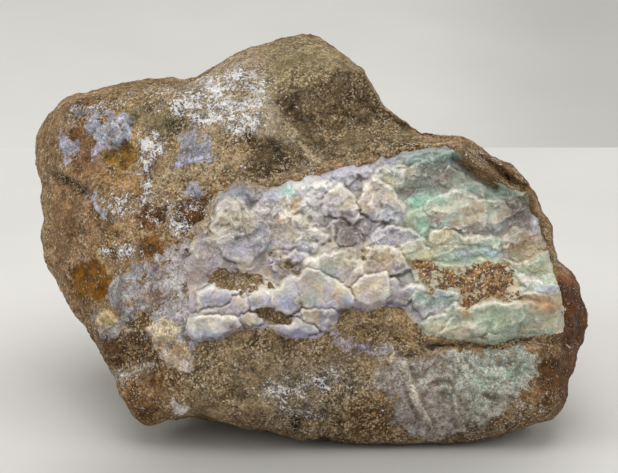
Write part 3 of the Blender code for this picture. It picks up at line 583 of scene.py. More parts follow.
skin = light_of(SKIN) * (1.0 + 0.22 * grit(places, 14.0, 110, 3))[:, None]
skin = tinted(skin, (150, 124, 92), smooth_step(grit(places, 9.0, 115, 3), 0.15, 0.9))
skin = tinted(skin, (92, 68, 46), smooth_step(grit(places, 11.0, 120, 3), 0.25, 1.0))
skin = tinted(skin, (104, 76, 50), 0.6 * smooth_step(grit(places, 24.0, 118, 2), 0.1, 0.7))
SKIN_HOLD = 0.02                # the skin's own say everywhere
total = np.full(len(places), SKIN_HOLD)
ground = skin * total[:, None]
for place, size, colour in GROUNDS:
    sway = front * blob(bent_across, bent_up, place, size) ** 2.2
    ground += sway[:, None] * light_of(colour)
    total += sway
ground /= total[:, None]
# Painted highlight on the ridges and swellings, and painted shade down in the grooves and dents
ground = tinted(ground, (142, 112, 80), 0.5 * smooth_step(ridged, 1.2, 2.6))
ground = tinted(ground, (60, 42, 28), 0.9 * smooth_step(-ridged, 0.3, 1.7))
yellowed = smooth_step(grit(places, 4.5, 127, 3, 0.6), 0.15, 0.9)
ground = tinted(ground, (142, 116, 74), 0.3 * yellowed)
greyed = smooth_step(grit(places, 5.5, 128, 3, 0.6), 0.2, 0.9)
ground = tinted(ground, (128, 114, 92), 0.25 * greyed)
left_end = blob(across, up, (-62, 10), (12, 42))
ground *= (1.0 + 0.5 * left_end * grit(places, 3.0, 129, 3, 0.6))[:, None]

# Faces of one colour with a clear border: (outline, colour, softness of the border)
FACES = [
    ([(-13.1, 48.5), (-6.8, 55.1), (-2.7, 57), (5.5, 53.5), (9.5, 49), (11.5, 46.4), (5.5, 44.2),
      (-2.7, 41.6), (-7.6, 38.4), (-13.1, 40.4), (-15, 44.2)], (127, 117, 88), 3.0),
    ([(-15, 41.4), (-10.4, 39.7), (-6.8, 34.6), (-2.7, 28.9), (2.2, 22.2), (4.1, 19.8), (0.5, 20.2),
      (-3.8, 24.5), (-8.2, 26.9), (-13.1, 27.3), (-16.4, 30.5), (-16.9, 36)], (158, 144, 122), 1.2),
    ([(-13.1, 26.2), (-9.3, 26.5), (-5.5, 24.2), (-1.6, 21.6), (1.1, 19.6), (-3.8, 17.8), (-9.5, 16.2),
      (-15, 15.8), (-19.6, 17.5), (-18, 21.3), (-14.7, 24)], (28, 22, 13), 1.6),
    ([(-46.9, 37.1), (-43.6, 39.3), (-39.5, 38.7), (-34.9, 36), (-32.7, 32.2), (-36, 29.5), (-40.9, 28.9),
      (-43.6, 31.1), (-46.4, 33.3)], (96, 90, 64), 2.0),
    ([(-61.6, 38.2), (-58.9, 39.3), (-55.6, 37.6), (-52.4, 36), (-51.8, 33.8), (-55.1, 33.3), (-58.4, 34.9),
      (-61.1, 35.5)], (160, 122, 66), 1.2),
    ([(-36, 24.5), (-30, 25.1), (-23.2, 24.5), (-19.1, 22.4), (-21.3, 18.5), (-26.7, 16.4), (-32.7, 15.8),
      (-37.6, 14.7), (-40.9, 12), (-43.6, 10.9), (-41.5, 16.4), (-39.3, 20.2)], (168, 148, 118), 2.0),
    ([(-72.5, 9.5), (-68.2, 10.9), (-63.3, 8.7), (-58.6, 4.1), (-56.2, 0), (-57.3, -3.3), (-62.7, -6),
      (-68.2, -6), (-71.4, -2.7), (-75, 1.4)], (128, 96, 66), 2.0),
    ([(-60.5, -24.5), (-49.1, -22.4), (-43.6, -25.9), (-40.9, -30.5), (-43.1, -36), (-51.8, -36),
      (-56.2, -31.6)], (86, 60, 40), 2.0),
    ([(61, -30), (66, -27.5), (75, -28), (76, -20), (74.5, -13), (71, -10), (69.4, -14), (69.4, -24)],
     (70, 40, 20), 1.5),
    ([(41, 26), (46, 27), (54, 21.5), (60, 16), (63, 10), (60.5, 12.6), (52, 14.4), (46, 17.5), (41, 23.5)],
     (102, 74, 50), 1.2),
]
half_across = across + 0.5 * (bent_across - across)
half_up = up + 0.5 * (bent_up - up)
for outline, colour, softness in FACES:
    cover = smooth_step(inside_distance(half_across, half_up, outline), -softness, softness) * front
    ground = tinted(ground, colour, 0.85 * cover)
fresh = smooth_step(inside_distance(half_across, half_up, FRESH_BREAK), -0.4, 0.5)
break_colour = np.tile(light_of((101, 85, 64)), (len(places), 1))
break_colour = tinted(break_colour, (104, 90, 66), smooth_step(-up, -38.0, -26.0))
# Painted shade in the break's left corner, where the sharp ridge shadows the wall
break_colour = tinted(break_colour, (78, 62, 48), 0.85 * blob(across, up, (-5.5, 35), (5, 5.5)))
along_beds = np.column_stack([across * 0.22 + up * 0.05, up * 1.1 - across * 0.25, out * 0.1])
strata = lattice_noise(along_beds, 1.1, 126)
break_colour *= (1.0 + 0.22 * strata)[:, None]
ground = mixed(ground, break_colour, 0.95 * fresh * front)
# Painted shade in the low parts of the fine relief and painted highlights on the chips that stand up, over an
# uneven tone
tone = 1.0 + 0.30 * grit(places, 3.4, 125, 3, 0.7) + 1.3 * np.clip(detail, -0.5, 0.3) * (1 - 0.4 * calm)
ground *= np.clip(tone, 0.38, 1.25)[:, None]
ground = tinted(ground, (180, 156, 120), 0.34 * smooth_step(detail, 0.10, 0.5) * (1 - calm))

# Glassy and stained patches: (outline, colour, gloss)
STAINS = [
    (HIGH_POOL, (172, 130, 58), 1.0), (LOW_POOL, (134, 88, 14), 1.0),
    (RIGHT_POOL, (96, 64, 28), 0.6), (MIDDLE_POOL, (112, 74, 30), 0.6),
    ([(-46.4, -0.5), (-42, 0.8), (-39, -0.8), (-39.2, -5.2), (-43, -6.2), (-46.2, -4.5)], (112, 74, 30), 0.8),
    ([(-64.5, 31), (-60, 31.5), (-57.5, 27), (-58, 22), (-60, 17), (-64, 17), (-63, 24)], (122, 88, 58), 0.5),
    ([(-49.5, 30), (-46, 30.3), (-44.5, 27), (-49, 26.5)], (166, 128, 70), 0.6),
    ([(67, -8.5), (72, -9.5), (74, -13), (71, -15), (67, -13)], (128, 76, 40), 0.9),
    ([(66, -12), (73, -12), (78, -20), (78, -32), (70, -34), (67, -22)], (94, 52, 12), 0.9),
    ([(-42.5, 21), (-40.5, 22), (-41.5, 17), (-43.8, 13.5), (-44.6, 15)], (92, 66, 48), 0.3),
    ([(-57, 18.5), (-48, 18.5), (-44, 13), (-50, 12), (-57, 14.5)], (166, 130, 84), 0.3),
    ([(11, -45.3), (20.7, -45), (21, -52.5), (12, -53)], (112, 80, 46), 0.2),
    ([(-58, -25), (-44, -26), (-41, -31), (-45, -35), (-55, -33)], (90, 62, 36), 0.4),
    ([(-13, 26), (-9, 26), (-3, 20), (-9, 17), (-19, 18), (-17, 23)], (78, 64, 44), 0.2),
    ([(64, -33), (74, -31), (72, -44), (62, -46)], (92, 58, 26), 0.4),
]
gloss = np.zeros(len(places))
for outline, colour, shine in STAINS:
    border = 1.0 + 2.0 * smooth_step(across, 66.0, 70.0)
    cover = smooth_step(inside_distance(bent_across, bent_up, outline), -border, border)
    cover *= front * (1.0 - smooth_step(across, 60.0, 66.0) * smooth_step(-out, -22.0, -6.0))
    uneven = light_of(colour) * (1.0 + 0.4 * grit(places, 2.4, 130, 2))[:, None]
    ground = mixed(ground, uneven, cover)
    gloss = np.maximum(gloss, cover * shine)

# Pale, rusty line where the rock lips over the opal
LIP = [
    (-13.5, 16.2), (-5, 17.6), (0, 18.9), (5, 20.2), (12, 21.4), (18, 23.2), (25, 24.8), (31, 25.8),
    (38, 26.6),
]
lip = soft_line(across, up, LIP, 0.26) * front
ground = tinted(ground, (214, 182, 150), lip * smooth_step(lattice_noise(places, 0.9, 133), -0.4, 0.2))

# Bands of the curled patch at the upper left, round a grey eye
BAND_MIDDLE = (-53.6, 29.6)
from_band = np.hypot((bent_across - BAND_MIDDLE[0]) / 1.25, bent_up - BAND_MIDDLE[1])
curled = blob(across, up, (-55.5, 29.5), (6, 4.5))
bands = 0.5 + 0.5 * np.sin(from_band * 3.6 + lattice_noise(places, 3, 140))
film = tinted(film, (178, 180, 198), 0.7 * bands * curled * smooth_step(from_band, 2.0, 2.6))
film = tinted(film, (134, 132, 130), 0.8 * curled * smooth_step(-from_band, -2.2, -1.4))
film = tinted(film, (206, 204, 206), 0.8 * curled * np.exp(-((from_band - 2.3) / 0.35) ** 2))

# Smaller marks on the films: (place, half sizes, colour, amount)
MARKS = [
    ((-33, 25.6), (2.8, 3.0), (104, 98, 98), 0.75), ((-31, 21.2), (4, 1.0), (176, 178, 200), 0.6),
    ((-42.5, -15.8), (5, 2.2), (146, 112, 84), 0.8), ((-40.9, -8.7), (3, 1.6), (112, 88, 98), 0.9),
    ((-49, -16), (3, 2), (186, 190, 190), 0.7), ((-52, -11.5), (2, 1.6), (178, 184, 190), 0.7),
    ((-36, -12), (4, 5), (182, 176, 170), 0.6), ((-39, -29.5), (2.4, 0.9), (172, 122, 70), 0.8),
    ((-35, -30.2), (2.2, 1.0), (178, 134, 84), 0.6), ((-37.4, -28.9), (0.9, 0.5), (62, 44, 28), 0.9),
    ((-34, -34), (2, 2), (190, 178, 184), 0.7), ((-36, -25), (2, 1.4), (208, 198, 176), 0.6),
    ((38, -36), (4, 3), (150, 132, 122), 0.6), ((53, -38), (5, 2.5), (138, 116, 98), 0.5),
    ((47, -38), (10, 7.5), (153, 172, 157), 0.85), ((28, -42), (7, 9), (136, 121, 120), 0.7),
    ((56, -34), (6.5, 4.5), (156, 180, 166), 0.9), ((43, -47), (6, 4), (146, 150, 136), 0.5),
    ((50, -31.6), (9, 1.0), (176, 190, 176), 0.6), ((28, -50), (4, 4), (150, 142, 150), 0.6),
    ((30, -35), (4, 2), (160, 154, 148), 0.6),
]
for place, size, colour, amount in MARKS:
    film = tinted(film, colour, amount * blob(bent_across, bent_up, place, size))
# Painted shade and highlights on the films too: darker where the fine relief is low, lighter where it stands
# up, over an uneven tone
tone = 1.0 + 0.20 * (1.0 - 0.8 * calm) * grit(places, 2.6, 160, 3, 0.7) + 0.7 * np.clip(detail, -0.5, 0.4)
film *= tone[:, None]
varied = 1.0 - 0.7 * calm
film = tinted(film, (112, 94, 78), 0.55 * varied * smooth_step(grit(places, 3.2, 165, 3, 0.6), 0.35, 0.9))
film = tinted(film, (200, 198, 204), 0.5 * varied * smooth_step(-grit(places, 2.6, 168, 3, 0.6), 0.4, 0.9))

# The wide film at the lower right is streaked, steeply at its left and flatter at its right
FLOW_AT = (42, -40)
swung = 0.75 - 0.95 * smooth_step(across + 0.3 * up, 22.0, 34.0)
beside_flow = bent_across * np.sin(swung) - bent_up * np.cos(swung)
along_flow = bent_across * np.cos(swung) + bent_up * np.sin(swung)
drawn = np.column_stack([beside_flow, 0.16 * along_flow, out * 0.2])
streaks = lattice_noise(drawn, 1.1, 172) + 0.6 * lattice_noise(drawn, 0.55, 173)
streaked = blob(across, up, FLOW_AT, (28, 14))
film = tinted(film, (206, 204, 192), 0.80 * smooth_step(streaks, 0.05, 0.5) * streaked)
film = tinted(film, (96, 80, 66), 0.75 * smooth_step(-streaks, 0.15, 0.6) * streaked)

# The films are worn through in places, though hardly in that one, and two small ones are whole
worn_through = smooth_step(grit(places, 3.0, 170, 3, 0.7), 0.3, 0.8)
film_cover *= 1.0 - 0.75 * worn_through * (1.0 - 0.8 * blob(across, up, FLOW_AT, (24, 14)))
film_cover *= 1.0 - 0.75 * blob(across, up, (16, -38), (6, 6)) * (0.5 + 0.5 * grit(places, 3.0, 174, 3, 0.7))
for outline in (CREAM_BLOB, YELLOW_KNOB):
    cover = smooth_step(inside_distance(half_across, half_up, outline), -1.0, 0.8)
    film_cover = np.maximum(film_cover, front * cover)

# Veins and fine cracks in the rock: (points, half width, colour)
VEINS = [
    ([(-55.8, 22.2), (-53.8, 25.5), (-50.8, 26.9), (-47.6, 26.3), (-45.6, 24.4), (-46.4, 21), (-48.8, 18.6),
      (-52.4, 18.8)], 0.55, (192, 164, 106)),
    ([(-55.6, 21.2), (-54.6, 24.4), (-51.6, 26.4), (-48.4, 26)], 0.45, (78, 54, 24)),
    ([(-53.2, 23.4), (-51.2, 21.6), (-50.2, 19.4)], 0.35, (72, 50, 22)),
    ([(-51.2, 21.6), (-48.8, 22.8)], 0.3, (76, 52, 24)),
    ([(-57, -35.5), (-50, -36.5), (-43, -34.5)], 0.9, (158, 148, 140)),
    ([(-28.4, -45.6), (-22, -45), (-16.9, -46.2)], 0.7, (182, 160, 124)),
]
PALE_VEINS = [
    ([(25.6, -34.4), (27.8, -39.8), (29.5, -44.7), (32.7, -49.6)], 0.55, (244, 234, 214)),
    ([(24, -38.7), (25.6, -43), (27.8, -48)], 0.5, (196, 184, 178)),
]
for points, width, colour in VEINS + PALE_VEINS:
    ground = tinted(ground, colour, 0.85 * front * soft_line(bent_across, bent_up, points, width))

# The pale ones also run through the film, with a dark line along their right side
SHADE_APART = 1.3
SHADE_HALF_WIDTH = 0.8
for points, width, colour in PALE_VEINS:
    vein = soft_line(across, up, points, 1.3 * width) * (0.7 + 0.3 * grit(places, 1.6, 175, 2, 0.6))
    beside = soft_line(across - SHADE_APART, up, points, SHADE_HALF_WIDTH)
    film = tinted(film, (84, 66, 50), 0.65 * beside)
    film = tinted(film, colour, np.clip(1.1 * vein, 0.0, 1.0))
    film_cover = np.maximum(film_cover, vein * front)

# White crust over the shoulder, and looser flecks elsewhere: (place, half sizes, amount)
CRUST = [
    ((-24.5, 40), (3.2, 3.2), 0.85), ((-18, 31), (4.5, 2.6), 0.85), ((-28.5, 44), (2.5, 1.6), 0.8),
    ((-31, 38.5), (5.5, 3.2), 0.8), ((-27, 34), (7.5, 3.4), 0.75), ((-14.5, 40), (3.6, 6.5), 0.62),
    ((-20, 45), (6, 3), 0.6), ((-21, 35.5), (5.5, 3), 0.75), ((-35, 35.5), (4, 2), 0.55),
    ((-56, 37), (9, 2.2), 0.45), ((-66, 33), (4, 4), 0.42), ((-70, 24), (3, 7), 0.40),
    ((-42, 40.5), (8, 2), 0.5), ((-52, 9), (4, 4), 0.62), ((-50.5, -3), (4, 2.2), 0.82),
    ((-56.2, -2.7), (1.6, 1.2), 0.8), ((-43, 8), (5, 6), 0.45), ((-36, 3.8), (3, 3), 0.85),
    ((-26, 8.2), (2.2, 2.6), 0.95), ((-50, -37), (5, 2.6), 0.50), ((-54, -24.5), (4, 2), 0.60),
    ((-9, -41.4), (6, 2.4), 0.70), ((-3, -48), (7, 3), 0.55), ((4, -38), (9, 5), 0.50),
    ((-35.8, -45.5), (2, 1.6), 0.7), ((60, -46), (5, 2.5), 0.5), ((-33, 9.5), (5, 3), 0.45),
    ((-46, 21), (2, 5), 0.5), ((48, 22), (6, 3), 0.3),
]
crust = np.clip(blobs(across, up, CRUST), 0, 0.66) * front
crust += (1 - front) * 0.25 * smooth_step(grit(places, 12, 150, 2), 0.1, 0.9)

# Where the crust is thick enough to hide the rock: patches, and lines of (points, half width, amount)
SOLID_CRUST = [
    ((-25, 40.6), (2.8, 3.0), 0.95), ((-19.5, 30.6), (4.6, 1.9), 0.95), ((-12.8, 41.5), (1.3, 4.5), 0.80),
    ((-43.6, 26.6), (3.0, 1.8), 0.90), ((-33, 36.6), (4.0, 0.8), 0.85), ((-27, 32.6), (4.5, 0.8), 0.85),
    ((-36.2, 3.6), (2.0, 1.8), 0.85), ((-26, 8.2), (1.8, 2.2), 0.95),
]
for place, size, amount in SOLID_CRUST:
    solid = np.minimum(1.3 * blob(half_across, half_up, place, size), 1.0)
    crust = np.maximum(crust, front * amount * solid)
CRUST_LINES = [
    ([(-42.4, 28), (-44.6, 24.6), (-43.8, 20), (-42.6, 17.6), (-44.8, 12.6), (-45.4, 9)], 1.4, 0.80),
    ([(-46.4, 28.4), (-44.4, 26), (-42, 27.4), (-40.6, 24.4), (-42.6, 21.4)], 1.5, 0.80),
    ([(-55, 9), (-51, 5), (-46, 9), (-44, 13)], 1.4, 0.30),
]
for points, width, amount in CRUST_LINES:
    crust = np.maximum(crust, amount * front * soft_line(bent_across, bent_up, points, width))

paint(host_rock.data, "ground", np.clip(ground, 0.002, 1.0))
paint(host_rock.data, "film", np.clip(film, 0.002, 1.0))
for name, amount in {
    "film_cover": film_cover, "gloss": gloss, "crust": crust, "gritty": gritty, "calm": calm,
}.items():
    paint(host_rock.data, name, amount)


def node(tree, kind, inputs=None, **settings):
    """New shader node. Inputs are given by name or number, as a value or as another node's output."""
    made = tree.nodes.new("ShaderNode" + kind)
    for name, value in settings.items():
        setattr(made, name, value)
    for name, value in (inputs or {}).items():
        if isinstance(value, bpy.types.NodeSocket):
            tree.links.new(value, made.inputs[name])
        else:
            made.inputs[name].default_value = value
    return made


def kept(tree, name, output="Fac"):
    """A colour or amount that was painted on the mesh."""
    return node(tree, "Attribute", attribute_name=name).outputs[output]


def noise(tree, where, per_metre, detail=4.0, roughness=0.55, distortion=0.0):
    """Cloudy noise, about 0.3 to 0.7."""
    inputs = {
        "Vector": where, "Scale": per_metre, "Detail": detail, "Roughness": roughness,
        "Distortion": distortion,
    }
    return node(tree, "TexNoise", inputs).outputs["Fac"]


def cells(tree, where, per_metre, output="Color"):
    """Packed grains: a random colour for each, or the distance from its middle."""
    return node(tree, "TexVoronoi", {"Vector": where, "Scale": per_metre}).outputs[output]


def spread(tree, value, low, high, to_low=0.0, to_high=1.0, soft=True):
    """Stretch one range on to another."""
    inputs = {"Value": value, "From Min": low, "From Max": high, "To Min": to_low, "To Max": to_high}
    kind = "SMOOTHSTEP" if soft else "LINEAR"
    return node(tree, "MapRange", inputs, interpolation_type=kind).outputs["Result"]


def figure(tree, operation, first, second=0.0):
    """Difference, largest or the like of two amounts."""
    return node(tree, "Math", {0: first, 1: second}, operation=operation).outputs[0]


def product(tree, first, *others):
    """Amounts multiplied together."""
    for other in others:
        first = figure(tree, "MULTIPLY", first, other)
    return first


def summed(tree, first, *others):
    """Amounts added up."""
    for other in others:
        first = figure(tree, "ADD", first, other)
    return first


def wrinkles(tree, where, per_metre, detail, roughness, distortion):
    """Thin wandering lines, near 0 along their middle."""
    cloudy = noise(tree, where, per_metre, detail, roughness, distortion)
    return figure(tree, "ABSOLUTE", figure(tree, "SUBTRACT", cloudy, 0.5))


def layered(tree, share, under, over, how="MIX"):
    """One colour over another."""
    made = node(tree, "Mix", {0: share, 6: under, 7: over}, data_type="RGBA", blend_type=how)
    return made.outputs[2]


def flat(colour):
    """A colour for a socket."""
    return (*light_of(colour), 1.0)


def grey(tree, value):
    """An amount as a grey."""
    return node(tree, "CombineColor", {"Red": value, "Green": value, "Blue": value}).outputs[0]


def toned(tree, share, colour, amount, low, high, dark, bright, soft=True):
    """A colour made darker to brighter as an amount goes from low to high."""
    tone = grey(tree, spread(tree, amount, low, high, dark, bright, soft))
    return layered(tree, share, colour, tone, "MULTIPLY")


def specked(tree, colour, speck, amount, low, high, strength, within=1.0):
    """A colour with specks of another, growing to full strength as an amount goes from low to high."""
    share = product(tree, spread(tree, amount, low, high, 0.0, strength), within)
    return layered(tree, share, colour, flat(speck))


def chances(tree, grains):
    """Three chances from 0 to 1 for each grain, from its random colour."""
    return node(tree, "SeparateColor", {0: grains}).outputs[:3]


def new_material(name):
    """Empty material and its shader."""
    made = bpy.data.materials.new(name)
    made.use_nodes = True
    return made, made.node_tree, made.node_tree.nodes["Principled BSDF"]


def join_up(tree, shader, colour, rough, relief, deep):
    """Lead the colour, roughness and fine relief (so many metres deep) into a shader."""
    bump = node(tree, "Bump", {"Strength": 1.0, "Distance": deep, "Height": relief})
    tree.links.new(colour, shader.inputs["Base Color"])
    tree.links.new(rough, shader.inputs["Roughness"])
    tree.links.new(bump.outputs["Normal"], shader.inputs["Normal"])


rock_stuff, tree, shader = new_material("iron_stained_sandstone")
where = node(tree, "TexCoord").outputs["Object"]
broad = noise(tree, where, 95, 4, 0.6, 0.3)
mottle = noise(tree, where, 300, 6, 0.6, 0.4)
grain = noise(tree, where, 1300, 5, 0.7)
dust = noise(tree, where, 4200, 2, 0.6)
sand_pale, sand_glint, sand_tone = chances(tree, cells(tree, where, 2300))
clast = chances(tree, cells(tree, where, 1150))[0]
gloss_share = kept(tree, "gloss")
coarse = spread(tree, kept(tree, "calm"), 0.0, 0.9, 1.0, 0.72)
patchy = spread(tree, noise(tree, where, 110, 4, 0.6), 0.42, 0.58, 0.25, 1.0)
dull = product(tree, figure(tree, "SUBTRACT", 1.0, gloss_share), coarse, patchy)

colour = kept(tree, "ground", "Color")
colour = toned(tree, 1.0, colour, broad, 0.36, 0.64, 0.86, 1.12)
colour = toned(tree, 1.0, colour, mottle, 0.34, 0.66, 0.64, 1.26)
colour = toned(tree, coarse, colour, grain, 0.34, 0.58, 0.62, 1.06)
colour = toned(tree, coarse, colour, dust, 0.34, 0.66, 0.72, 1.26)
colour = toned(tree, coarse, colour, sand_tone, 0.0, 1.0, 0.60, 1.38, soft=False)
pale_lines = wrinkles(tree, where, 760, 4, 0.6, 0.7)
colour = specked(tree, colour, (188, 160, 118), pale_lines, 0.025, 0.0, 0.34, dull)
colour = specked(tree, colour, (190, 164, 124), grain, 0.54, 0.68, 0.30, dull)
colour = specked(tree, colour, (204, 182, 144), sand_pale, 0.81, 0.85, 0.72, dull)
loose_grit = noise(tree, where, 1900, 4, 0.7, 0.3)
colour = toned(tree, kept(tree, "gritty"), colour, loose_grit, 0.36, 0.64, 0.54, 1.50)
colour = specked(tree, colour, (52, 36, 22), sand_pale, 0.20, 0.15, 0.58, dull)
colour = specked(tree, colour, (196, 172, 134), clast, 0.90, 0.94, 0.42, dull)
colour = specked(tree, colour, (56, 40, 26), clast, 0.11, 0.07, 0.50, dull)
colour = specked(tree, colour, (118, 84, 50), noise(tree, where, 240, 5, 0.7, 1.0), 0.56, 0.72, 0.25)

# White crust, in crumbs and worm-like marks drawn out down the slope
along_slope = {"Vector": where, "Rotation": (0.0, math.radians(33.0), 0.0), "Scale": (1.9, 1.0, 1.0)}
drawn_out = node(tree, "Mapping", along_slope, vector_type="TEXTURE").outputs[0]
worms = spread(tree, wrinkles(tree, drawn_out, 900, 3, 0.5, 1.2), 0.05, 0.0, 0.0, 0.55)
scabs = product(tree, noise(tree, drawn_out, 420, 4, 0.6, 0.8), 1.9)
crumbs = product(tree, noise(tree, where, 1500, 3, 0.6, 0.4), 1.8)
scatter = spread(tree, sand_tone, 0.0, 1.0, -0.16, 0.16, False)
crust_height = summed(tree, kept(tree, "crust"), scabs, crumbs, worms, scatter)
crust_share = spread(tree, crust_height, 2.56, 2.70)
crumb_chance = chances(tree, cells(tree, where, 1050))[1]
whiter = spread(tree, crumb_chance, 0.2, 0.9)
crust_colour = layered(tree, whiter, flat((212, 214, 224)), flat((244, 240, 230)))
colour = layered(tree, crust_share, colour, crust_colour)

# Films of opal, cloudy and worn
ragged = summed(tree, product(tree, noise(tree, where, 420, 6, 0.7, 0.3), 2.4), -1.2)
film_share = spread(tree, summed(tree, kept(tree, "film_cover"), ragged), 0.26, 0.70)
worn = spread(tree, noise(tree, where, 700, 4, 0.6, 0.4), 0.54, 0.66, 1.0, 0.4)
film_share = product(tree, film_share, worn)
cloud = noise(tree, where, 380, 5, 0.6, 1.2)
lively = spread(tree, kept(tree, "calm"), 0.0, 0.9, 1.0, 0.8)
film_colour = kept(tree, "film", "Color")
film_colour = toned(tree, lively, film_colour, cloud, 0.36, 0.64, 0.70, 1.28)
pale_spots = noise(tree, where, 800, 4, 0.6)
film_colour = specked(tree, film_colour, (212, 210, 216), pale_spots, 0.58, 0.68, 0.5, lively)
dark_spots = noise(tree, where, 560, 4, 0.6, 0.6)
film_colour = specked(tree, film_colour, (104, 86, 66), dark_spots, 0.42, 0.32, 0.6, lively)
film_colour = toned(tree, 1.0, film_colour, sand_tone, 0.0, 1.0, 0.70, 1.30, soft=False)
film_colour = toned(tree, 1.0, film_colour, dust, 0.36, 0.64, 0.78, 1.22)
colour = layered(tree, film_share, colour, film_colour)
# Sparse pale specks: partly white grains, partly painted glints standing in for tiny reflections
colour = specked(tree, colour, (234, 216, 184), sand_glint, 0.955, 0.97, 0.65, dull)

rough = spread(tree, grain, 0.3, 0.7, 0.62, 0.95)
rough = figure(tree, "SUBTRACT", rough, product(tree, gloss_share, 0.32))
rough = figure(tree, "SUBTRACT", rough, product(tree, film_share, 0.18))
relief = summed(
    tree, product(tree, grain, 0.9), product(tree, dust, 0.45),
    product(tree, cells(tree, where, 2200, "Distance"), -0.35),
    product(tree, crust_share, 0.25), product(tree, film_share, 0.20),
)
join_up(tree, shader, colour, rough, relief, 0.0006)
tree.links.new(product(tree, gloss_share, 0.08), shader.inputs["Coat Weight"])
shader.inputs["Coat Roughness"].default_value = 0.12
shader.inputs["Specular IOR Level"].default_value = 0.10
host_rock.data.materials.append(rock_stuff)
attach(host_rock, "root")
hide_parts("host_rock")

# Opal seam
# A thick, milky seam of common opal bedded in the rock's face. It broke along the seam into rounded lumps
# and scallops that step down the face, cream and lilac on the left, mint green on the right.
# Sandy matrix shows through between the lumps, and a rusty crust clings to the right.

SEAM_STEP = 0.26                # the seam's face is made on a grid of this step
GRID_MARGIN = 2.5               # that goes this far beyond the seam's edge
FURTHEST_OUT = 70.0             # the face lies less than this in front of the stone's middle
SEAM_BEYOND = 1.1               # the opal runs on this far beyond its edge, under the rock's lip
SEAM_FOOT = 9.0                 # how far the seam runs down into the rock
LUMP_GROWTH = 1.1               # lumps press together this much beyond their outlines
SHOULDER_ABOVE = 1.1            # width of the ledge along a lump's upper edge
SHOULDER_BELOW = 1.8            # and of the slope that falls away under it
RISE_SHARE = 0.85               # share of its rise that a lump keeps
SHOULDER_ROUNDNESS = 2.8
FILLING_SINK = 0.7              # how much lower a lump starts than the opal between the lumps
JOIN_WIDTH = 0.31               # width of a join between lumps, whatever the grid's step
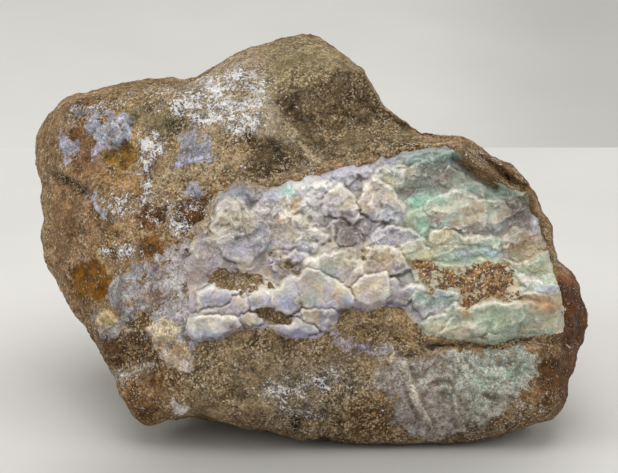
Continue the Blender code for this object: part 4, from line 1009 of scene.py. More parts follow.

# Lumps: (outline, rise, tilt, colour above, colour below), tilted so that the upper edge stands out further.
# The colour below is mostly darker and bluer: partly the opal's own tint, partly painted shade on the lump's
# lower side.
CREAM = (206, 194, 168)
WARM = (198, 176, 142)
LILAC = (176, 170, 182)
VIOLET = (164, 158, 178)
BLUE = (166, 174, 196)
SLATE = (132, 138, 146)
MINT = (162, 176, 150)
AQUA = (134, 154, 138)
BEIGE = (182, 168, 144)
MAUVE = (108, 90, 84)
WHITE = (216, 212, 202)
OLIVE = (170, 164, 122)
HONEY = (168, 146, 112)
LUMPS = [
    ([(-30, -13.8), (-26, -12.7), (-21, -12.6), (-18.8, -13.6), (-20.5, -16), (-25, -18.4), (-30.2, -18.9)],
     3.0, 0.14, LILAC, SLATE),
    ([(-33, -21.5), (-29, -19.4), (-22, -18), (-18.5, -15.8), (-16.9, -17), (-17.8, -19.6), (-21, -21)],
     2.8, 0.10, BEIGE, LILAC),
    ([(-34, -23), (-30, -21), (-20, -21.2), (-19.4, -24.6), (-24, -26.6), (-30, -28.5), (-33.5, -27)],
     3.6, 0.14, CREAM, BLUE),
    ([(-19.8, -21.5), (-17, -20.3), (-13.6, -20.8), (-13.2, -23), (-18, -24.2)], 2.2, 0.1, CREAM, BEIGE),
    ([(-22, -28), (-20, -25.4), (-15, -24.4), (-16.5, -26)], 1.4, 0.1, BEIGE, SLATE),
    ([(-16.5, -16), (-14, -13.5), (-11, -12.4), (-9.8, -14), (-10.4, -17.3), (-12.5, -18.7), (-16, -18.8)],
     3.6, 0.2, WHITE, BLUE),
    ([(-10.2, -17), (-10, -13.5), (-6, -10.2), (-4, -10.8), (-2.6, -14), (-2.8, -18.6), (-5, -19.9),
      (-8, -18.8)], 4.6, 0.22, WHITE, VIOLET),
    ([(-4.4, -10.8), (-2, -9.2), (2.5, -9), (8, -12.4), (11, -13.6), (12, -16), (10, -19.8), (5, -18.8),
      (-2, -18)], 5.2, 0.22, CREAM, LILAC),
    ([(-4.5, -20.4), (-1, -18.5), (6.5, -19), (7.8, -20), (7, -23.5), (5, -24.6), (0.5, -22.8)],
     3.6, 0.2, MAUVE, LILAC),
    ([(-10.5, -24.6), (-6.5, -22), (-4.2, -20.9), (1, -23.2), (2, -24.6), (-2, -26.9), (-7, -25.4)],
     2.8, 0.2, WHITE, VIOLET),
    ([(-2.2, -27.8), (0, -26.6), (3.4, -27.6), (1.5, -28.9)], 1.4, 0.1, VIOLET, VIOLET),
    ([(-10, -8), (-7, -5), (-4.5, -3.2), (-1, -4.4), (-0.6, -6.2), (-4, -8)], 2.8, 0.15, LILAC, BEIGE),
    ([(-2, -8.2), (-0.8, -5.6), (5, -4.8), (10.7, -2.3), (13, -5.4), (15, -9.5), (12.4, -12.6), (8, -12.8),
      (3, -9.4)], 4.8, 0.2, CREAM, LILAC),
    ([(13.8, -7), (14.4, -3.4), (17.5, -2), (20.3, -1), (24, -3.3), (27.5, -8), (22, -9.2), (15, -9)],
     4.2, 0.15, WARM, MAUVE),
    ([(12.6, -12.6), (16, -8.7), (20.5, -9.6), (21, -14), (20, -18.4), (16, -19.3), (12.2, -17)],
     4.0, 0.15, CREAM, LILAC),
    ([(20.5, -12), (23, -11), (24.5, -13.4), (29.4, -13), (28, -15.6), (24, -17.3), (20.5, -16.5)],
     2.8, 0.1, LILAC, MAUVE),
    ([(4, 9.6), (5.4, 12.6), (8.5, 14.8), (11, 12), (13.4, 6), (12, 4.4), (8, 6.4), (4.4, 7.6)],
     4.0, 0.15, CREAM, LILAC),
    ([(13, 10), (15, 14), (18.5, 16.8), (22.5, 13.3), (25.4, 9.5), (24.6, 4), (20, 6), (14.4, 8)],
     4.0, 0.12, WARM, SLATE),
    ([(17.4, -0.5), (18.4, 2), (22.7, 4), (27.6, 2.5), (31, -1.5), (35, -4.4), (27.4, -6.2), (23, -2.2)],
     3.6, 0.15, LILAC, MINT),
    ([(-4.6, -1.6), (-1, 2), (1.4, 2.6), (3.8, 0.2), (1.6, -2.8), (-1.6, -3.2)], 2.6, 0.2, WHITE, SLATE),
    ([(-14, 9.5), (-12, 11.4), (-6.8, 11.4), (-4.6, 16.5), (1, 17.4), (5.4, 15), (3.6, 9), (2.6, 5.4),
      (-2.5, 0.6), (-6, -1.9), (-12, -3.2), (-11, 3.2), (-15, 7)], 3.0, 0.08, WHITE, CREAM),
    ([(-26, 3), (-23.5, 9.6), (-18, 9.4), (-14.4, 6), (-10.6, 1.6), (-12.8, -3), (-17, -6.3), (-24, -4.4)],
     3.6, 0.1, CREAM, LILAC),
    ([(-23, 11.4), (-22, 14.6), (-18, 16.4), (-14, 14.5), (-13.4, 11), (-17, 9.6)], 2.0, 0.05, (96, 98, 112),
      (118, 122, 138)),
    ([(6.3, 17.4), (7.8, 20), (12.2, 20.4), (13.6, 17.8), (10.4, 15.4)], 2.2, 0.05, LILAC, SLATE),
    ([(13.4, 20), (16.6, 20.4), (18.4, 17), (15, 15.4), (13.4, 17)], 1.8, 0.05, LILAC, BEIGE),
    ([(18.4, 17.4), (19.6, 19.8), (24.8, 20.5), (25, 16), (24, 13.6), (20.6, 15.2)], 2.8, 0.05, MINT, OLIVE),
    ([(17, 20.6), (22, 22.8), (30, 24.4), (38.4, 24.4), (39.6, 21), (33, 21.4), (25.6, 21.2)],
     2.0, 0.05, AQUA, SLATE),
    ([(24.8, 19.4), (32, 20.8), (37.4, 20), (37, 16.4), (32.4, 11.9), (26, 13.4)], 1.2, 0.08, (118, 120, 108),
      AQUA),
    ([(36, 15.6), (38.4, 19.4), (43, 17.4), (47, 14.4), (59.6, 12.4), (57, 10.8), (47, 11.4), (39, 13)],
     1.8, 0.1, MINT, AQUA),
    ([(26, 10.8), (29, 11.8), (32.8, 11.2), (31.6, 9.2), (26.4, 9.2)], 1.6, 0.05, AQUA, AQUA),
    ([(25, 7.6), (31, 8.6), (32, 6), (30.4, 1.4), (27.6, 2.6)], 2.4, 0.05, MINT, OLIVE),
    ([(31.2, 7.4), (33, 10.2), (38, 12.9), (42, 12.9), (44.6, 11), (40, 8.6), (34, 6.2)],
      3.4, 0.12, CREAM, WARM),
    ([(32.4, 4.6), (35, 6.6), (40, 8.4), (43.6, 10.6), (47, 10.2), (48, 1.6), (40, 1.6), (36, 3.4)],
     2.8, 0.12, BEIGE, MAUVE),
    ([(46.8, 10.3), (52.6, 9.8), (54, 6.4), (52, 1.8), (47.6, 2.4)], 2.2, 0.1, BEIGE, SLATE),
    ([(52.5, 9.9), (60.4, 10.3), (63.6, 4.4), (60, 2.6), (53, 2.2)], 1.6, 0.05, MAUVE, MAUVE),
    ([(32.6, -0.4), (33.6, 2.4), (36.6, 3.2), (42, 0.8), (52.4, 0.4), (51, -2.2), (45, -1), (38, -1.4)],
     2.6, 0.15, CREAM, MINT),
    ([(30.4, 0.8), (32.4, -1.2), (38.6, -1.8), (45, -1.2), (47.5, -3), (44, -6), (37, -5.6), (32, -2.4)],
     2.0, 0.15, MINT, AQUA),
    ([(52.6, 0.8), (56, 2.6), (61, 1.6), (63.8, -1.6), (60.4, -5.4), (54, -5)], 2.0, 0.12, (142, 118, 84),
      (146, 128, 98)),
    ([(60.6, -4), (64.4, -3.6), (64.8, -7.6), (60, -9.4), (57, -8)], 2.0, 0.12, MINT, OLIVE),
    ([(53.6, -5), (59.6, -8), (62.2, -10.2), (57.4, -10.6)], 1.6, 0.1, MINT, SLATE),
    ([(28, -6.6), (33, -6.8), (42, -7), (50, -5.5), (55, -8), (59.4, -15.6), (54, -17.8), (42, -17.4),
      (36, -13.4), (30, -12)], 1.8, 0.08, MINT, CREAM),
    ([(55.6, -9), (61, -11), (67, -13), (66.4, -14.8), (60, -13.2)], 2.4, 0.1, WHITE, LILAC),
    ([(57.6, -13.2), (67, -15.2), (68.2, -17.2), (60, -16)], 1.8, 0.1, CREAM, HONEY),
    ([(27.6, -15.8), (30, -13.2), (41, -15), (40, -17.6), (34, -21), (30, -21)], 2.6, 0.12, AQUA, LILAC),
    ([(30, -22.6), (35, -21), (41, -17.8), (47.4, -18.3), (48.8, -20.6), (48.2, -25.6), (42, -27), (34, -26)],
     3.6, 0.18, MINT, CREAM),
    ([(48, -18.4), (57, -17.8), (59, -20), (56, -25.6), (52.4, -27.8), (48.4, -26.8)], 3.2, 0.2, MINT, AQUA),
    ([(58.4, -18), (66, -17.4), (68, -21), (66, -26), (57, -25.8)], 3.0, 0.15, MINT, OLIVE),
]

# Where the sandy bed shows between the lumps: (outline, how sandy)
SANDY_HOLLOWS = [
    ([(-29.6, -8.9), (-24.5, -7.4), (-18.5, -7.6), (-14.2, -9.3), (-10.4, -11.5), (-11.5, -13.6),
      (-16.4, -14), (-18.8, -16), (-21, -14.4), (-28.9, -12.6)], 1.0),
    ([(6.5, 4.9), (8.2, 5.9), (10.8, 2.2), (13.5, -0.5), (15.5, -2.9), (14.6, -6), (10.9, -4.9), (8.2, -2.2),
      (6, 0)], 0.3),
    ([(2.2, -1.1), (4.9, 0.5), (6.5, -1.1), (5.5, -4.4), (2.2, -3.8)], 0.4),
    ([(-9.6, -6.4), (-6, -5), (-2.7, -6.4), (-1.6, -8.2), (-3.8, -9.6), (-7.1, -10.2), (-9.8, -8.6)], 0.5),
    ([(-16, -18.8), (-11.5, -17.7), (-7.6, -18.9), (-4.2, -20.9), (-6, -23), (-10.9, -23), (-14.9, -21.5)],
      1.0),
    ([(-12.4, -3.8), (-9.3, -2.7), (-7.6, -4.4), (-9.8, -6.2)], 0.9),
    ([(11.5, 17.5), (13.6, 18.5), (15.3, 16.4), (13.1, 14.7)], 0.5),
    ([(35.4, 18.4), (37.6, 17), (36.4, 15.2), (34.8, 16.2)], 0.5),
]
HOLLOW_FLOOR = 0.2              # height of the sand in them

# Colour of the opal between the lumps: (place, half sizes, colour)
SEAM_GROUNDS = [
    ((-32, -10), (6, 9), (158, 148, 148)), ((-30, 3), (4, 6), (134, 112, 88)),
    ((-18, -8), (8, 6), (150, 140, 136)), ((-18, 12), (8, 4), (108, 110, 126)),
    ((0, 8), (12, 8), (190, 182, 168)), ((8, 18), (8, 3), (150, 150, 172)), ((14, 2), (5, 5), (112, 98, 92)),
    ((30, 17), (8, 5), (138, 160, 150)), ((45, 8), (14, 8), (172, 176, 158)),
    ((45, -10), (16, 6), (176, 186, 164)), ((0, -22), (14, 5), (150, 136, 140)),
    ((20, -14), (10, 5), (160, 150, 160)), ((-20, -22), (10, 5), (176, 166, 152)),
    ((58, -2), (6, 6), (146, 132, 102)),
]

low = np.min(SEAM_EDGE, axis=0) - GRID_MARGIN
high = np.max(SEAM_EDGE, axis=0) + GRID_MARGIN
columns, rows = ((high - low) / SEAM_STEP).astype(int)
across_steps = np.linspace(low[0], high[0], columns)
up_steps = np.linspace(low[1], high[1], rows)
grid_up, grid_across = np.meshgrid(up_steps, across_steps, indexing="ij")
across, up = grid_across.ravel(), grid_up.ravel()
level = np.column_stack([across, up, np.zeros(len(across))])
depth = surface_along(level, np.array([[0.0, 0.0, 1.0]]), FURTHEST_OUT)
places = np.column_stack([across, up, depth])
depth = rock_face(across, up, depth + ruggedness(places))[0]
within = inside_distance(across, up, SEAM_EDGE)

bent_across = across + 0.8 * grit(level, 4.2, 200, 4, 0.6)
bent_up = up + 0.8 * grit(level, 4.2, 240, 4, 0.6)


def blurred(values, softness):
    """Values of the grid smoothed over a short distance, in mm."""
    cells_wide = softness / SEAM_STEP
    reach = int(3 * cells_wide)
    steps = np.arange(-reach, reach + 1)
    weights = np.exp(-0.5 * (steps / cells_wide) ** 2)
    weights /= weights.sum()
    grid = values.reshape(rows, columns)
    for axis in (0, 1):
        margins = [(reach, reach) if axis == side else (0, 0) for side in (0, 1)]
        padded = np.pad(grid, margins, mode="edge")
        grid = sum(
            weight * np.take(padded, np.arange(grid.shape[axis]) + step, axis=axis)
            for step, weight in enumerate(weights)
        )
    return grid.ravel()


def facets(places, cell, seed, step, lean):
    """Hackly break: every lattice cell is a flat tilted facet, a step above or below its neighbours."""
    nearest = np.full(len(places), 9.0)
    second = np.full(len(places), 9.0)
    height = np.zeros(len(places))
    beside = np.zeros(len(places))
    for own, offset in grains_around(places, cell, seed, 0.45):
        apart = np.sqrt(np.sum(offset * offset, axis=1))
        facet = step * own[:, 6] + lean * np.sum(offset * own[:, 3:6], axis=1)
        closer = apart < nearest
        beside = np.where(closer, height, np.where(apart < second, facet, beside))
        second = np.where(closer, nearest, np.minimum(second, apart))
        height = np.where(closer, facet, height)
        nearest = np.where(closer, apart, nearest)
    sure = 0.5 + 0.5 * smooth_step(second - nearest, 0.0, 0.16)
    return height * sure + beside * (1.0 - sure)


# The right of the seam is glassy and broken into scallops, the left is milky and knobbly
glassy = smooth_step(across + 3.0 * lattice_noise(level, 6.0, 208), 22.0, 32.0)
filling = 0.5 + 0.7 * lattice_noise(level, 5.0, 206) + 0.4 * lattice_noise(level, 2.2, 207)
relief = filling.copy()
tints = np.tile(light_of(BEIGE) * 0.05, (len(across), 1))
total = np.full(len(across), 0.05)
for place, size, ground_colour in SEAM_GROUNDS:
    sway = blob(bent_across, bent_up, place, size)
    tints += sway[:, None] * light_of(ground_colour)
    total += sway
tints /= total[:, None]
between = tints.copy()
softest = 1.0 + lattice_noise(level, 4.0, 204) * 0.4
uneven = 0.35 * lattice_noise(level, 3.0, 205)
showing = np.full(len(across), -1.0)
for number, (outline, rise, tilt, colour_above, colour_below) in enumerate(LUMPS):
    inset = inside_distance(bent_across, bent_up, outline) + LUMP_GROWTH
    heights = [point[1] for point in outline]
    middle = np.mean(heights)
    half = 0.5 * (max(heights) - min(heights))
    below = smooth_step(middle - up, -0.4 * half, 0.7 * half)
    shoulder = (SHOULDER_ABOVE + (SHOULDER_BELOW - SHOULDER_ABOVE) * below) * (1.0 + 0.3 * glassy)
    share = np.clip(inset / (shoulder * softest), 0.0, 1.0)
    rounded = 1.0 - (1.0 - share) ** SHOULDER_ROUNDNESS
    top = (RISE_SHARE * rise * (1.0 - 0.1 * glassy) + tilt * (up - middle)) * rounded + filling - FILLING_SINK
    # Each lump runs from its colour above to its colour below, partly painted shade on its lower side
    lump_tint = tinted(light_of(colour_above)[None, :], colour_below, smooth_step(below + uneven, 0.25, 0.95))
    tints = np.where((top > relief)[:, None], lump_tint, tints)
    showing = np.where(top > relief, number, showing)
    relief = np.maximum(relief, top)
tints = mixed(between, tints, np.full(len(across), 0.8))

# Joins where one lump meets the next, and places where lumps run into each other
mosaic = showing.reshape(rows, columns)
seams = np.zeros((rows, columns))
seams[1:] = mosaic[1:] != mosaic[:-1]
plated = smooth_step(-up, 7.0, 11.0) * (1.0 - glassy)
parted = np.maximum(smooth_step(lattice_noise(level, 3.6, 219), -0.6, 0.1), 0.85 * plated)
joins = (JOIN_WIDTH / SEAM_STEP) * blurred(seams.ravel(), 0.19) * parted
joins *= 1.0 - 0.8 * blob(across, up, (-15, 7), (13, 8))
merging = 0.55 * smooth_step(lattice_noise(level, 5.5, 224), -0.2, 0.4)
merging += 0.2 * blob(across, up, (-11, 7), (14, 9))
merging = np.clip(merging, 0.0, 0.85) * (1.0 - 0.6 * glassy) * (1.0 - 0.7 * smooth_step(-up, 6.0, 11.0))
relief += merging * (blurred(relief, 1.55) - relief)

# Knobbly break on the left, of chips and facets in falling sizes
bent_level = np.column_stack([bent_across, bent_up, 0 * up])
knobs, knob_chance = chips(bent_level, 4.8, 210, 1.5, 1.5, 0.7)
crumbs, crumb_chance = chips(bent_level, 2.1, 211, 1.2, 1.4)
dints = chips(bent_level, 3.0, 217, 1.1, 1.4)[0]
specks = chips(bent_level, 1.2, 218, 1.1, 1.4)[0]
rumpled = 0.45 + 0.75 * smooth_step(lattice_noise(level, 7.0, 221), -0.3, 0.5)
rumpled *= 0.5 + 0.5 * smooth_step(up + 0.25 * across, -7.0, 1.0)
knobbly = 0.35 * (knobs - CHIP_MIDDLE) + (0.15 + 0.6 * rumpled) * facets(bent_level, 4.2, 226, 0.36, 1.2)
small = 0.18 * (crumbs - CHIP_MIDDLE) - 0.08 * (dints - CHIP_MIDDLE) + 0.16 * (specks - CHIP_MIDDLE)
knobbly += rumpled * small
knobbly += (0.1 + 0.7 * rumpled) * facets(bent_level, 1.9, 227, 0.17, 0.60)
knobbly += 0.35 * facets(bent_level, 1.0, 234, 0.14, 0.5)

# Scallops on the right, drawn out along the slope, with one flatter plate
swept = np.column_stack([0.42 * bent_across + 0.18 * bent_up, bent_up - 0.42 * bent_across, 0 * up])
plate = blob(across, up, (44, 4.6), (9, 5.5))
scallops, scallop_chance = chips(swept, 5.6, 212, 1.1, 1.7)
nicks, nick_chance = chips(swept, 2.2, 213, 1.0, 1.7)
scalloped = -1.85 * (scallops - CHIP_MIDDLE) - 0.55 * (nicks - CHIP_MIDDLE) + 0.08 * (specks - CHIP_MIDDLE)
splits = 0.32 * facets(swept, 5.2, 228, 0.5, 1.6) + 0.35 * facets(swept, 2.2, 229, 0.22, 0.7)
scalloped += (1.0 - 0.75 * plate) * splits
scalloped += 0.22 * facets(swept, 1.2, 235, 0.14, 0.5)
striae = lattice_noise(np.column_stack([bent_across + 0.35 * bent_up, 0.16 * bent_up, 0 * up]), 0.9, 233)
scalloped += 0.10 * striae

knobbly *= 1.0 + 0.5 * blob(across, up, (-17, 5), (13, 9)) - 0.45 * plated
relief += knobbly * (1.0 - glassy) + scalloped * glassy - (0.75 + 0.3 * plated) * joins * (1.0 - 0.6 * glassy)
relief += 0.06 * grit(level, 1.0, 214, 2, 0.7)

# Sandy hollows, and the ragged edge where the opal thins out
hollow = np.zeros(len(across))
torn = 0.8 * grit(level, 2.6, 223, 3, 0.7)
bits = smooth_step(crumbs, 0.62, 0.78)
for outline, amount in SANDY_HOLLOWS:
    dip = smooth_step(inside_distance(bent_across, bent_up, outline) + torn, -0.6, 1.0)
    relief += dip * (HOLLOW_FLOOR + 0.3 * grit(level, 1.6, 222, 2, 0.7) + 0.7 * bits - relief)
    hollow = np.maximum(hollow, amount * dip * (1.0 - 0.3 * bits))
relief = np.maximum(relief, -0.35 + 0.15 * lattice_noise(level, 1.5, 225))
raggedness = 0.8 * lattice_noise(level, 3.2, 215) + 0.5 * lattice_noise(level, 1.3, 216) - 0.4
ragged_within = within + raggedness * (1.0 - 0.8 * glassy)
relief *= smooth_step(ragged_within, -0.2 - 0.8 * glassy, 3.4 - 2.4 * glassy)
relief -= 1.6 * smooth_step(0.9 - 1.1 * glassy - ragged_within, 0.0, 1.8)

# The face of the seam as a grid of squares, its rim drawn down into the rock, and a flat underside
tops = np.column_stack([across, up, depth + relief])
inside = (within > -SEAM_BEYOND).reshape(rows, columns)
seam = bmesh.new()
tops_at = standing(tops)
feet_at = standing(np.column_stack([across, up, depth - SEAM_FOOT]))
used = {}


def seam_point(row, column):
    """The point of the seam's face at a place of the grid."""
    key = row * columns + column
    if key not in used:
        used[key] = seam.verts.new(tops_at[key])
    return used[key]


whole_squares = inside[:-1, :-1] & inside[:-1, 1:] & inside[1:, :-1] & inside[1:, 1:]
for row, column in np.argwhere(whole_squares):
    seam.faces.new([
        seam_point(row, column), seam_point(row, column + 1),
        seam_point(row + 1, column + 1), seam_point(row + 1, column),
    ])
rims = [edge for edge in seam.edges if edge.is_boundary]
walls = bmesh.ops.extrude_edge_only(seam, edges=rims)
place_of = {vertex: key for key, vertex in used.items()}
feet = []
for vertex in [part for part in walls["geom"] if isinstance(part, bmesh.types.BMVert)]:
    above = [edge.other_vert(vertex) for edge in vertex.link_edges if edge.other_vert(vertex) in place_of]
    key = place_of[min(above, key=lambda other: (other.co - vertex.co).length)]
    vertex.co = feet_at[key]
    feet.append(key)
bmesh.ops.contextual_create(seam, geom=[edge for edge in seam.edges if edge.is_boundary])
bmesh.ops.recalc_face_normals(seam, faces=seam.faces)
opal_seam = add_piece("opal_seam", seam)
kept_points = np.array(list(used) + feet)

# The colours run into each other. The down-facing feet of the lumps are bluer, partly the opal's own tint and
# partly painted shade;
# the grooves and the crevices under lumps are darkened with painted shade, the joins partly so, and up-facing
# slopes and crests get painted highlights.
colour = np.column_stack([blurred(tints[:, channel], 0.68) for channel in range(3)])
height = tops[:, 2]
groove = blurred(height, 1.55) - height
fine_groove = blurred(height, 0.55) - height
down = np.gradient(blurred(height, 0.46).reshape(rows, columns), SEAM_STEP, axis=0).ravel()
# Down-facing slopes: bluer and darker, partly the opal's own tint and partly painted shade
foot_blue_and_shade = smooth_step(down, 0.25, 1.3)
# Painted shade in the crevices just under a lump that stands out above
lifted = blurred(height, 0.31).reshape(rows, columns)
overhang = int(1.25 / SEAM_STEP)
overhung = np.pad(lifted[overhang:], ((0, overhang), (0, 0)), mode="edge") - lifted
crevice_shade = smooth_step(overhung.ravel(), 0.4, 1.4) * smooth_step(groove, 0.1, 0.6)
# Painted highlight on slopes that face up
lit_above = smooth_step(-down, 0.15, 1.0)
colour = tinted(colour, (150, 148, 184), 0.55 * foot_blue_and_shade * (1 - glassy))
colour = tinted(colour, (134, 170, 158), 0.45 * foot_blue_and_shade * glassy)
chance = knob_chance * (1 - glassy) + scallop_chance * glassy
small_chance = crumb_chance * (1 - glassy) + nick_chance * glassy
colour *= (1.0 + 0.06 * chance + 0.08 * small_chance)[:, None]
inner = smooth_step(within, 1.0, 4.0)
top_edge = smooth_step(-within, -4.0, -1.0) * smooth_step(up, 12.0, 17.0) * (1 - 0.5 * glassy)
for tint, share in [
    # dark joins between lumps: partly their own colour, partly painted shade
    ((92, 66, 52), (0.60 + 0.2 * plated) * smooth_step(joins, 0.2, 0.7) * (1 - 0.55 * glassy)),
    ((152, 156, 178), 0.32 * smooth_step(chance, 0.35, 0.6) * (1 - 0.7 * glassy)),
    ((206, 186, 146), 0.40 * smooth_step(-chance, 0.45, 0.7)),
    ((150, 140, 176), 0.35 * smooth_step(small_chance, 0.5, 0.7) * (1 - glassy)),
    ((148, 186, 170), 0.40 * smooth_step(small_chance, 0.3, 0.7) * glassy),
    # painted highlight on convex ridges, and painted shade in the hollows below
    ((222, 216, 202), 0.22 * smooth_step(-groove, 0.3, 1.2)),
    ((132, 116, 120), 0.15 * smooth_step(groove, 0.5, 1.8)),
    # painted shade under the lumps
    ((84, 60, 46), 0.65 * crevice_shade * (1 - 0.6 * glassy)),
    # painted highlight on the up-facing slopes
    ((236, 228, 208), 0.36 * lit_above * inner),
    ((148, 146, 164), 0.45 * top_edge),
]:
    colour = tinted(colour, tint, share)
colour *= (1.0 + 0.09 * glassy * striae)[:, None]
dimmer = 0.20 * blob(across, up, (-16, 6), (11, 9))
darker = 0.36 * blob(across, up, (34, 17), (13, 7))
colour *= (1.0 - dimmer - darker)[:, None]
# Painted shade in the fine grooves and painted highlights on the fine crests, with the whole opal made a
# little brighter, less so where glassy
shaded = (0.20 + 0.06 * glassy) * smooth_step(fine_groove, 0.03, 0.30)
colour *= (1.22 - 0.15 * glassy - shaded)[:, None]
colour = tinted(colour, (246, 242, 232), 0.5 * inner * smooth_step(-fine_groove, 0.05, 0.22))

# Spots of other colours: (place, half sizes, colour, amount)
ACCENTS = [
    ((-18, 13.4), (4.4, 3.2), (98, 102, 120), 0.85), ((-6.5, -7.6), (3.2, 2.4), (132, 116, 102), 0.7),
    ((-31.4, -9), (2.6, 3.0), (146, 120, 108), 0.7), ((62, -16.8), (4.6, 1.7), (170, 122, 62), 0.8),
    ((66, -19.5), (2.2, 3.0), (146, 104, 60), 0.6), ((59, -3), (3.4, 2.2), (140, 116, 78), 0.6),
    ((-25, -18.6), (5, 1.0), (118, 104, 100), 0.5), ((-26, -13.6), (4, 1.2), (196, 192, 194), 0.4),
    ((-3.5, 10.4), (1.0, 1.6), (216, 164, 98), 0.8), ((-6.6, 13.4), (1.7, 1.1), (146, 212, 194), 0.8),
    ((-9.9, 12.4), (2.0, 1.3), (148, 156, 200), 0.7), ((-7.9, 5.2), (1.3, 0.9), (214, 164, 102), 0.75),
    ((-15.5, 4.4), (1.4, 1.2), (210, 176, 126), 0.6), ((-12.6, 2.4), (2.0, 1.6), (150, 154, 200), 0.65),
    ((-11.0, -1.0), (2.0, 1.0), (156, 158, 198), 0.6), ((-3, -24.6), (3.0, 1.1), (172, 176, 224), 0.7),
    ((-6.8, -16.4), (1.6, 2.0), (172, 182, 222), 0.7), ((10.6, -16.4), (1.5, 1.8), (164, 178, 224), 0.75),
    ((-26, -26), (3.0, 1.4), (158, 172, 206), 0.6), ((3, -17.4), (3.0, 0.9), (170, 174, 216), 0.6),
    ((29.3, 10.8), (2.4, 1.1), (136, 214, 192), 0.75), ((28.6, 8.2), (1.2, 2.0), (198, 208, 150), 0.6),
    ((29.8, 4), (1.6, 2.8), (148, 214, 190), 0.6), ((48.7, -3.4), (3.0, 0.9), (148, 190, 214), 0.7),
    ((31.8, -4.6), (2.4, 0.9), (216, 204, 142), 0.6), ((35, -14.4), (2.6, 1.8), (164, 188, 212), 0.6),
    ((65, -13.2), (2.2, 0.9), (168, 184, 218), 0.7), ((42, 13.6), (2.6, 0.8), (158, 214, 200), 0.5),
    ((-1.2, -11.4), (2.4, 1.3), (196, 164, 122), 0.5), ((7.1, -14.7), (1.4, 0.9), (196, 156, 110), 0.5),
    ((0, -15.5), (2.0, 2.4), (176, 206, 194), 0.5), ((5, -8.0), (2.4, 2.0), (168, 204, 194), 0.5),
    ((10, -6), (2.2, 2.8), (206, 196, 150), 0.5), ((19.5, -6), (3, 2), (212, 184, 150), 0.5),
    ((33, 17), (5, 3), (112, 114, 102), 0.65), ((33.5, 15), (2.4, 1.4), (150, 140, 136), 0.6),
    ((36.5, 16.9), (1.6, 1.5), (140, 112, 110), 0.8), ((26.7, 13.4), (2.4, 1.1), (112, 100, 90), 0.85),
    ((28.5, 21.5), (3, 1), (176, 216, 204), 0.6), ((38, 23.6), (2.4, 1.0), (150, 210, 196), 0.6),
    ((34, 11), (3, 1.4), (150, 212, 190), 0.5), ((29.3, 9.5), (2.6, 1.6), (150, 196, 176), 0.6),
    ((56.5, 6), (5.0, 3.6), (98, 76, 72), 0.9), ((61.4, 5.5), (1.4, 3), (226, 222, 232), 0.8),
    ((60, -2.5), (3, 2), (166, 134, 88), 0.6), ((63.2, -0.7), (0.8, 1.0), (96, 62, 30), 0.9),
    ((65, -18), (2.4, 1.8), (186, 120, 52), 0.85), ((42.8, -20.7), (1.3, 1.3), (200, 124, 54), 0.8),
    ((39, -8), (3, 1.5), (200, 196, 140), 0.5), ((-17, -2), (4, 3), (176, 178, 204), 0.5),
    ((-14, 2), (2, 4), (180, 182, 200), 0.5), ((-20, 6), (3, 2), (214, 196, 152), 0.5),
    ((-17, 4), (8, 6), (158, 150, 138), 0.5), ((10.5, 1.5), (3.0, 4.4), (112, 100, 94), 0.85),
    ((22, 8), (2, 3), (180, 184, 196), 0.5), ((43, -4), (2, 1.2), (190, 184, 210), 0.6),
    ((52, -22), (4, 3), (184, 196, 150), 0.4), ((36, -24), (3, 1.6), (214, 208, 168), 0.5),
]
for place, size, spot_colour, amount in ACCENTS:
    colour = tinted(colour, spot_colour, amount * blob(bent_across, bent_up, place, size))

# Rusty crust: its outline, and two spots of it as (place, half sizes)
RUST_CRUST = [
    (27.5, -6), (31.1, -4.9), (35.5, -6.5), (39.5, -6.3), (43.6, -7.1), (47.5, -6.5), (48.5, -4.9),
    (51.8, -5.5), (55.1, -6), (55.6, -8.7), (56.2, -12.3), (59.4, -16.4), (57.3, -17.7), (53.2, -17.5),
    (49.1, -17.5), (45.8, -17.5), (43.6, -19.1), (41.5, -18), (42, -15.3), (40.9, -13.6), (38.2, -13.1),
    (35.5, -14.2), (33.3, -16.4), (31.6, -15.8), (31.1, -12.5), (28.9, -9.3),
]
RUST_SPOTS = [((65, -17.6), (2.4, 1.6)), ((42.8, -20.7), (1.2, 1.2))]
crusty = smooth_step(inside_distance(bent_across, bent_up, RUST_CRUST), -1.2, 1.2)
crusty *= np.clip(1.0 + 0.4 * grit(level, 2.6, 220, 2, 0.7), 0, 1.1)
for place, size in RUST_SPOTS:
    crusty = np.maximum(crusty, 0.6 * blob(across, up, place, size))
colour = tinted(colour, (206, 176, 126), 0.5 * np.clip(crusty, 0, 1))

# Sand in the hollows, and in ragged fingers along the left and lower edge
sandy = smooth_step(hollow + 0.35 * grit(level, 1.8, 230, 3, 0.7), 0.05, 0.75)
sandy *= smooth_step(hollow, 0.02, 0.2)
fingers = 1.4 + 3.2 * (0.5 + 0.5 * grit(level, 4.0, 232, 3, 0.6))
along_left = smooth_step(fingers - within, -0.8, 1.0) * smooth_step(-across, -6.0, 14.0)
along_foot = smooth_step(0.7 * fingers - within, -0.5, 0.8) * smooth_step(-up, 15.0, 20.0) * (1 - glassy)
at_edge = np.maximum(along_left, along_foot)
at_edge *= 1.0 - 0.9 * smooth_step(-across, 27.0, 31.0) * smooth_step(-up, 1.0, 6.0)
sandy = np.clip(sandy + 0.62 * at_edge + 0.3 * smooth_step(groove, 0.9, 2.0) * (1 - glassy), 0, 1)

mottled = 0.42 + 0.4 * smooth_step(lattice_noise(level, 4.5, 237), 0.05, 0.5) * (1.0 - plated) * (1.0 - plate)
mottled += 0.3 * blob(across, up, (-15, 7), (14, 9))
for name, amount in {
    "tint": np.clip(colour, 0.002, 1.0), "crusty": crusty, "sandy": sandy, "glassy": glassy,
    "mottled": mottled,
}.items():
    paint(opal_seam.data, name, amount[kept_points])

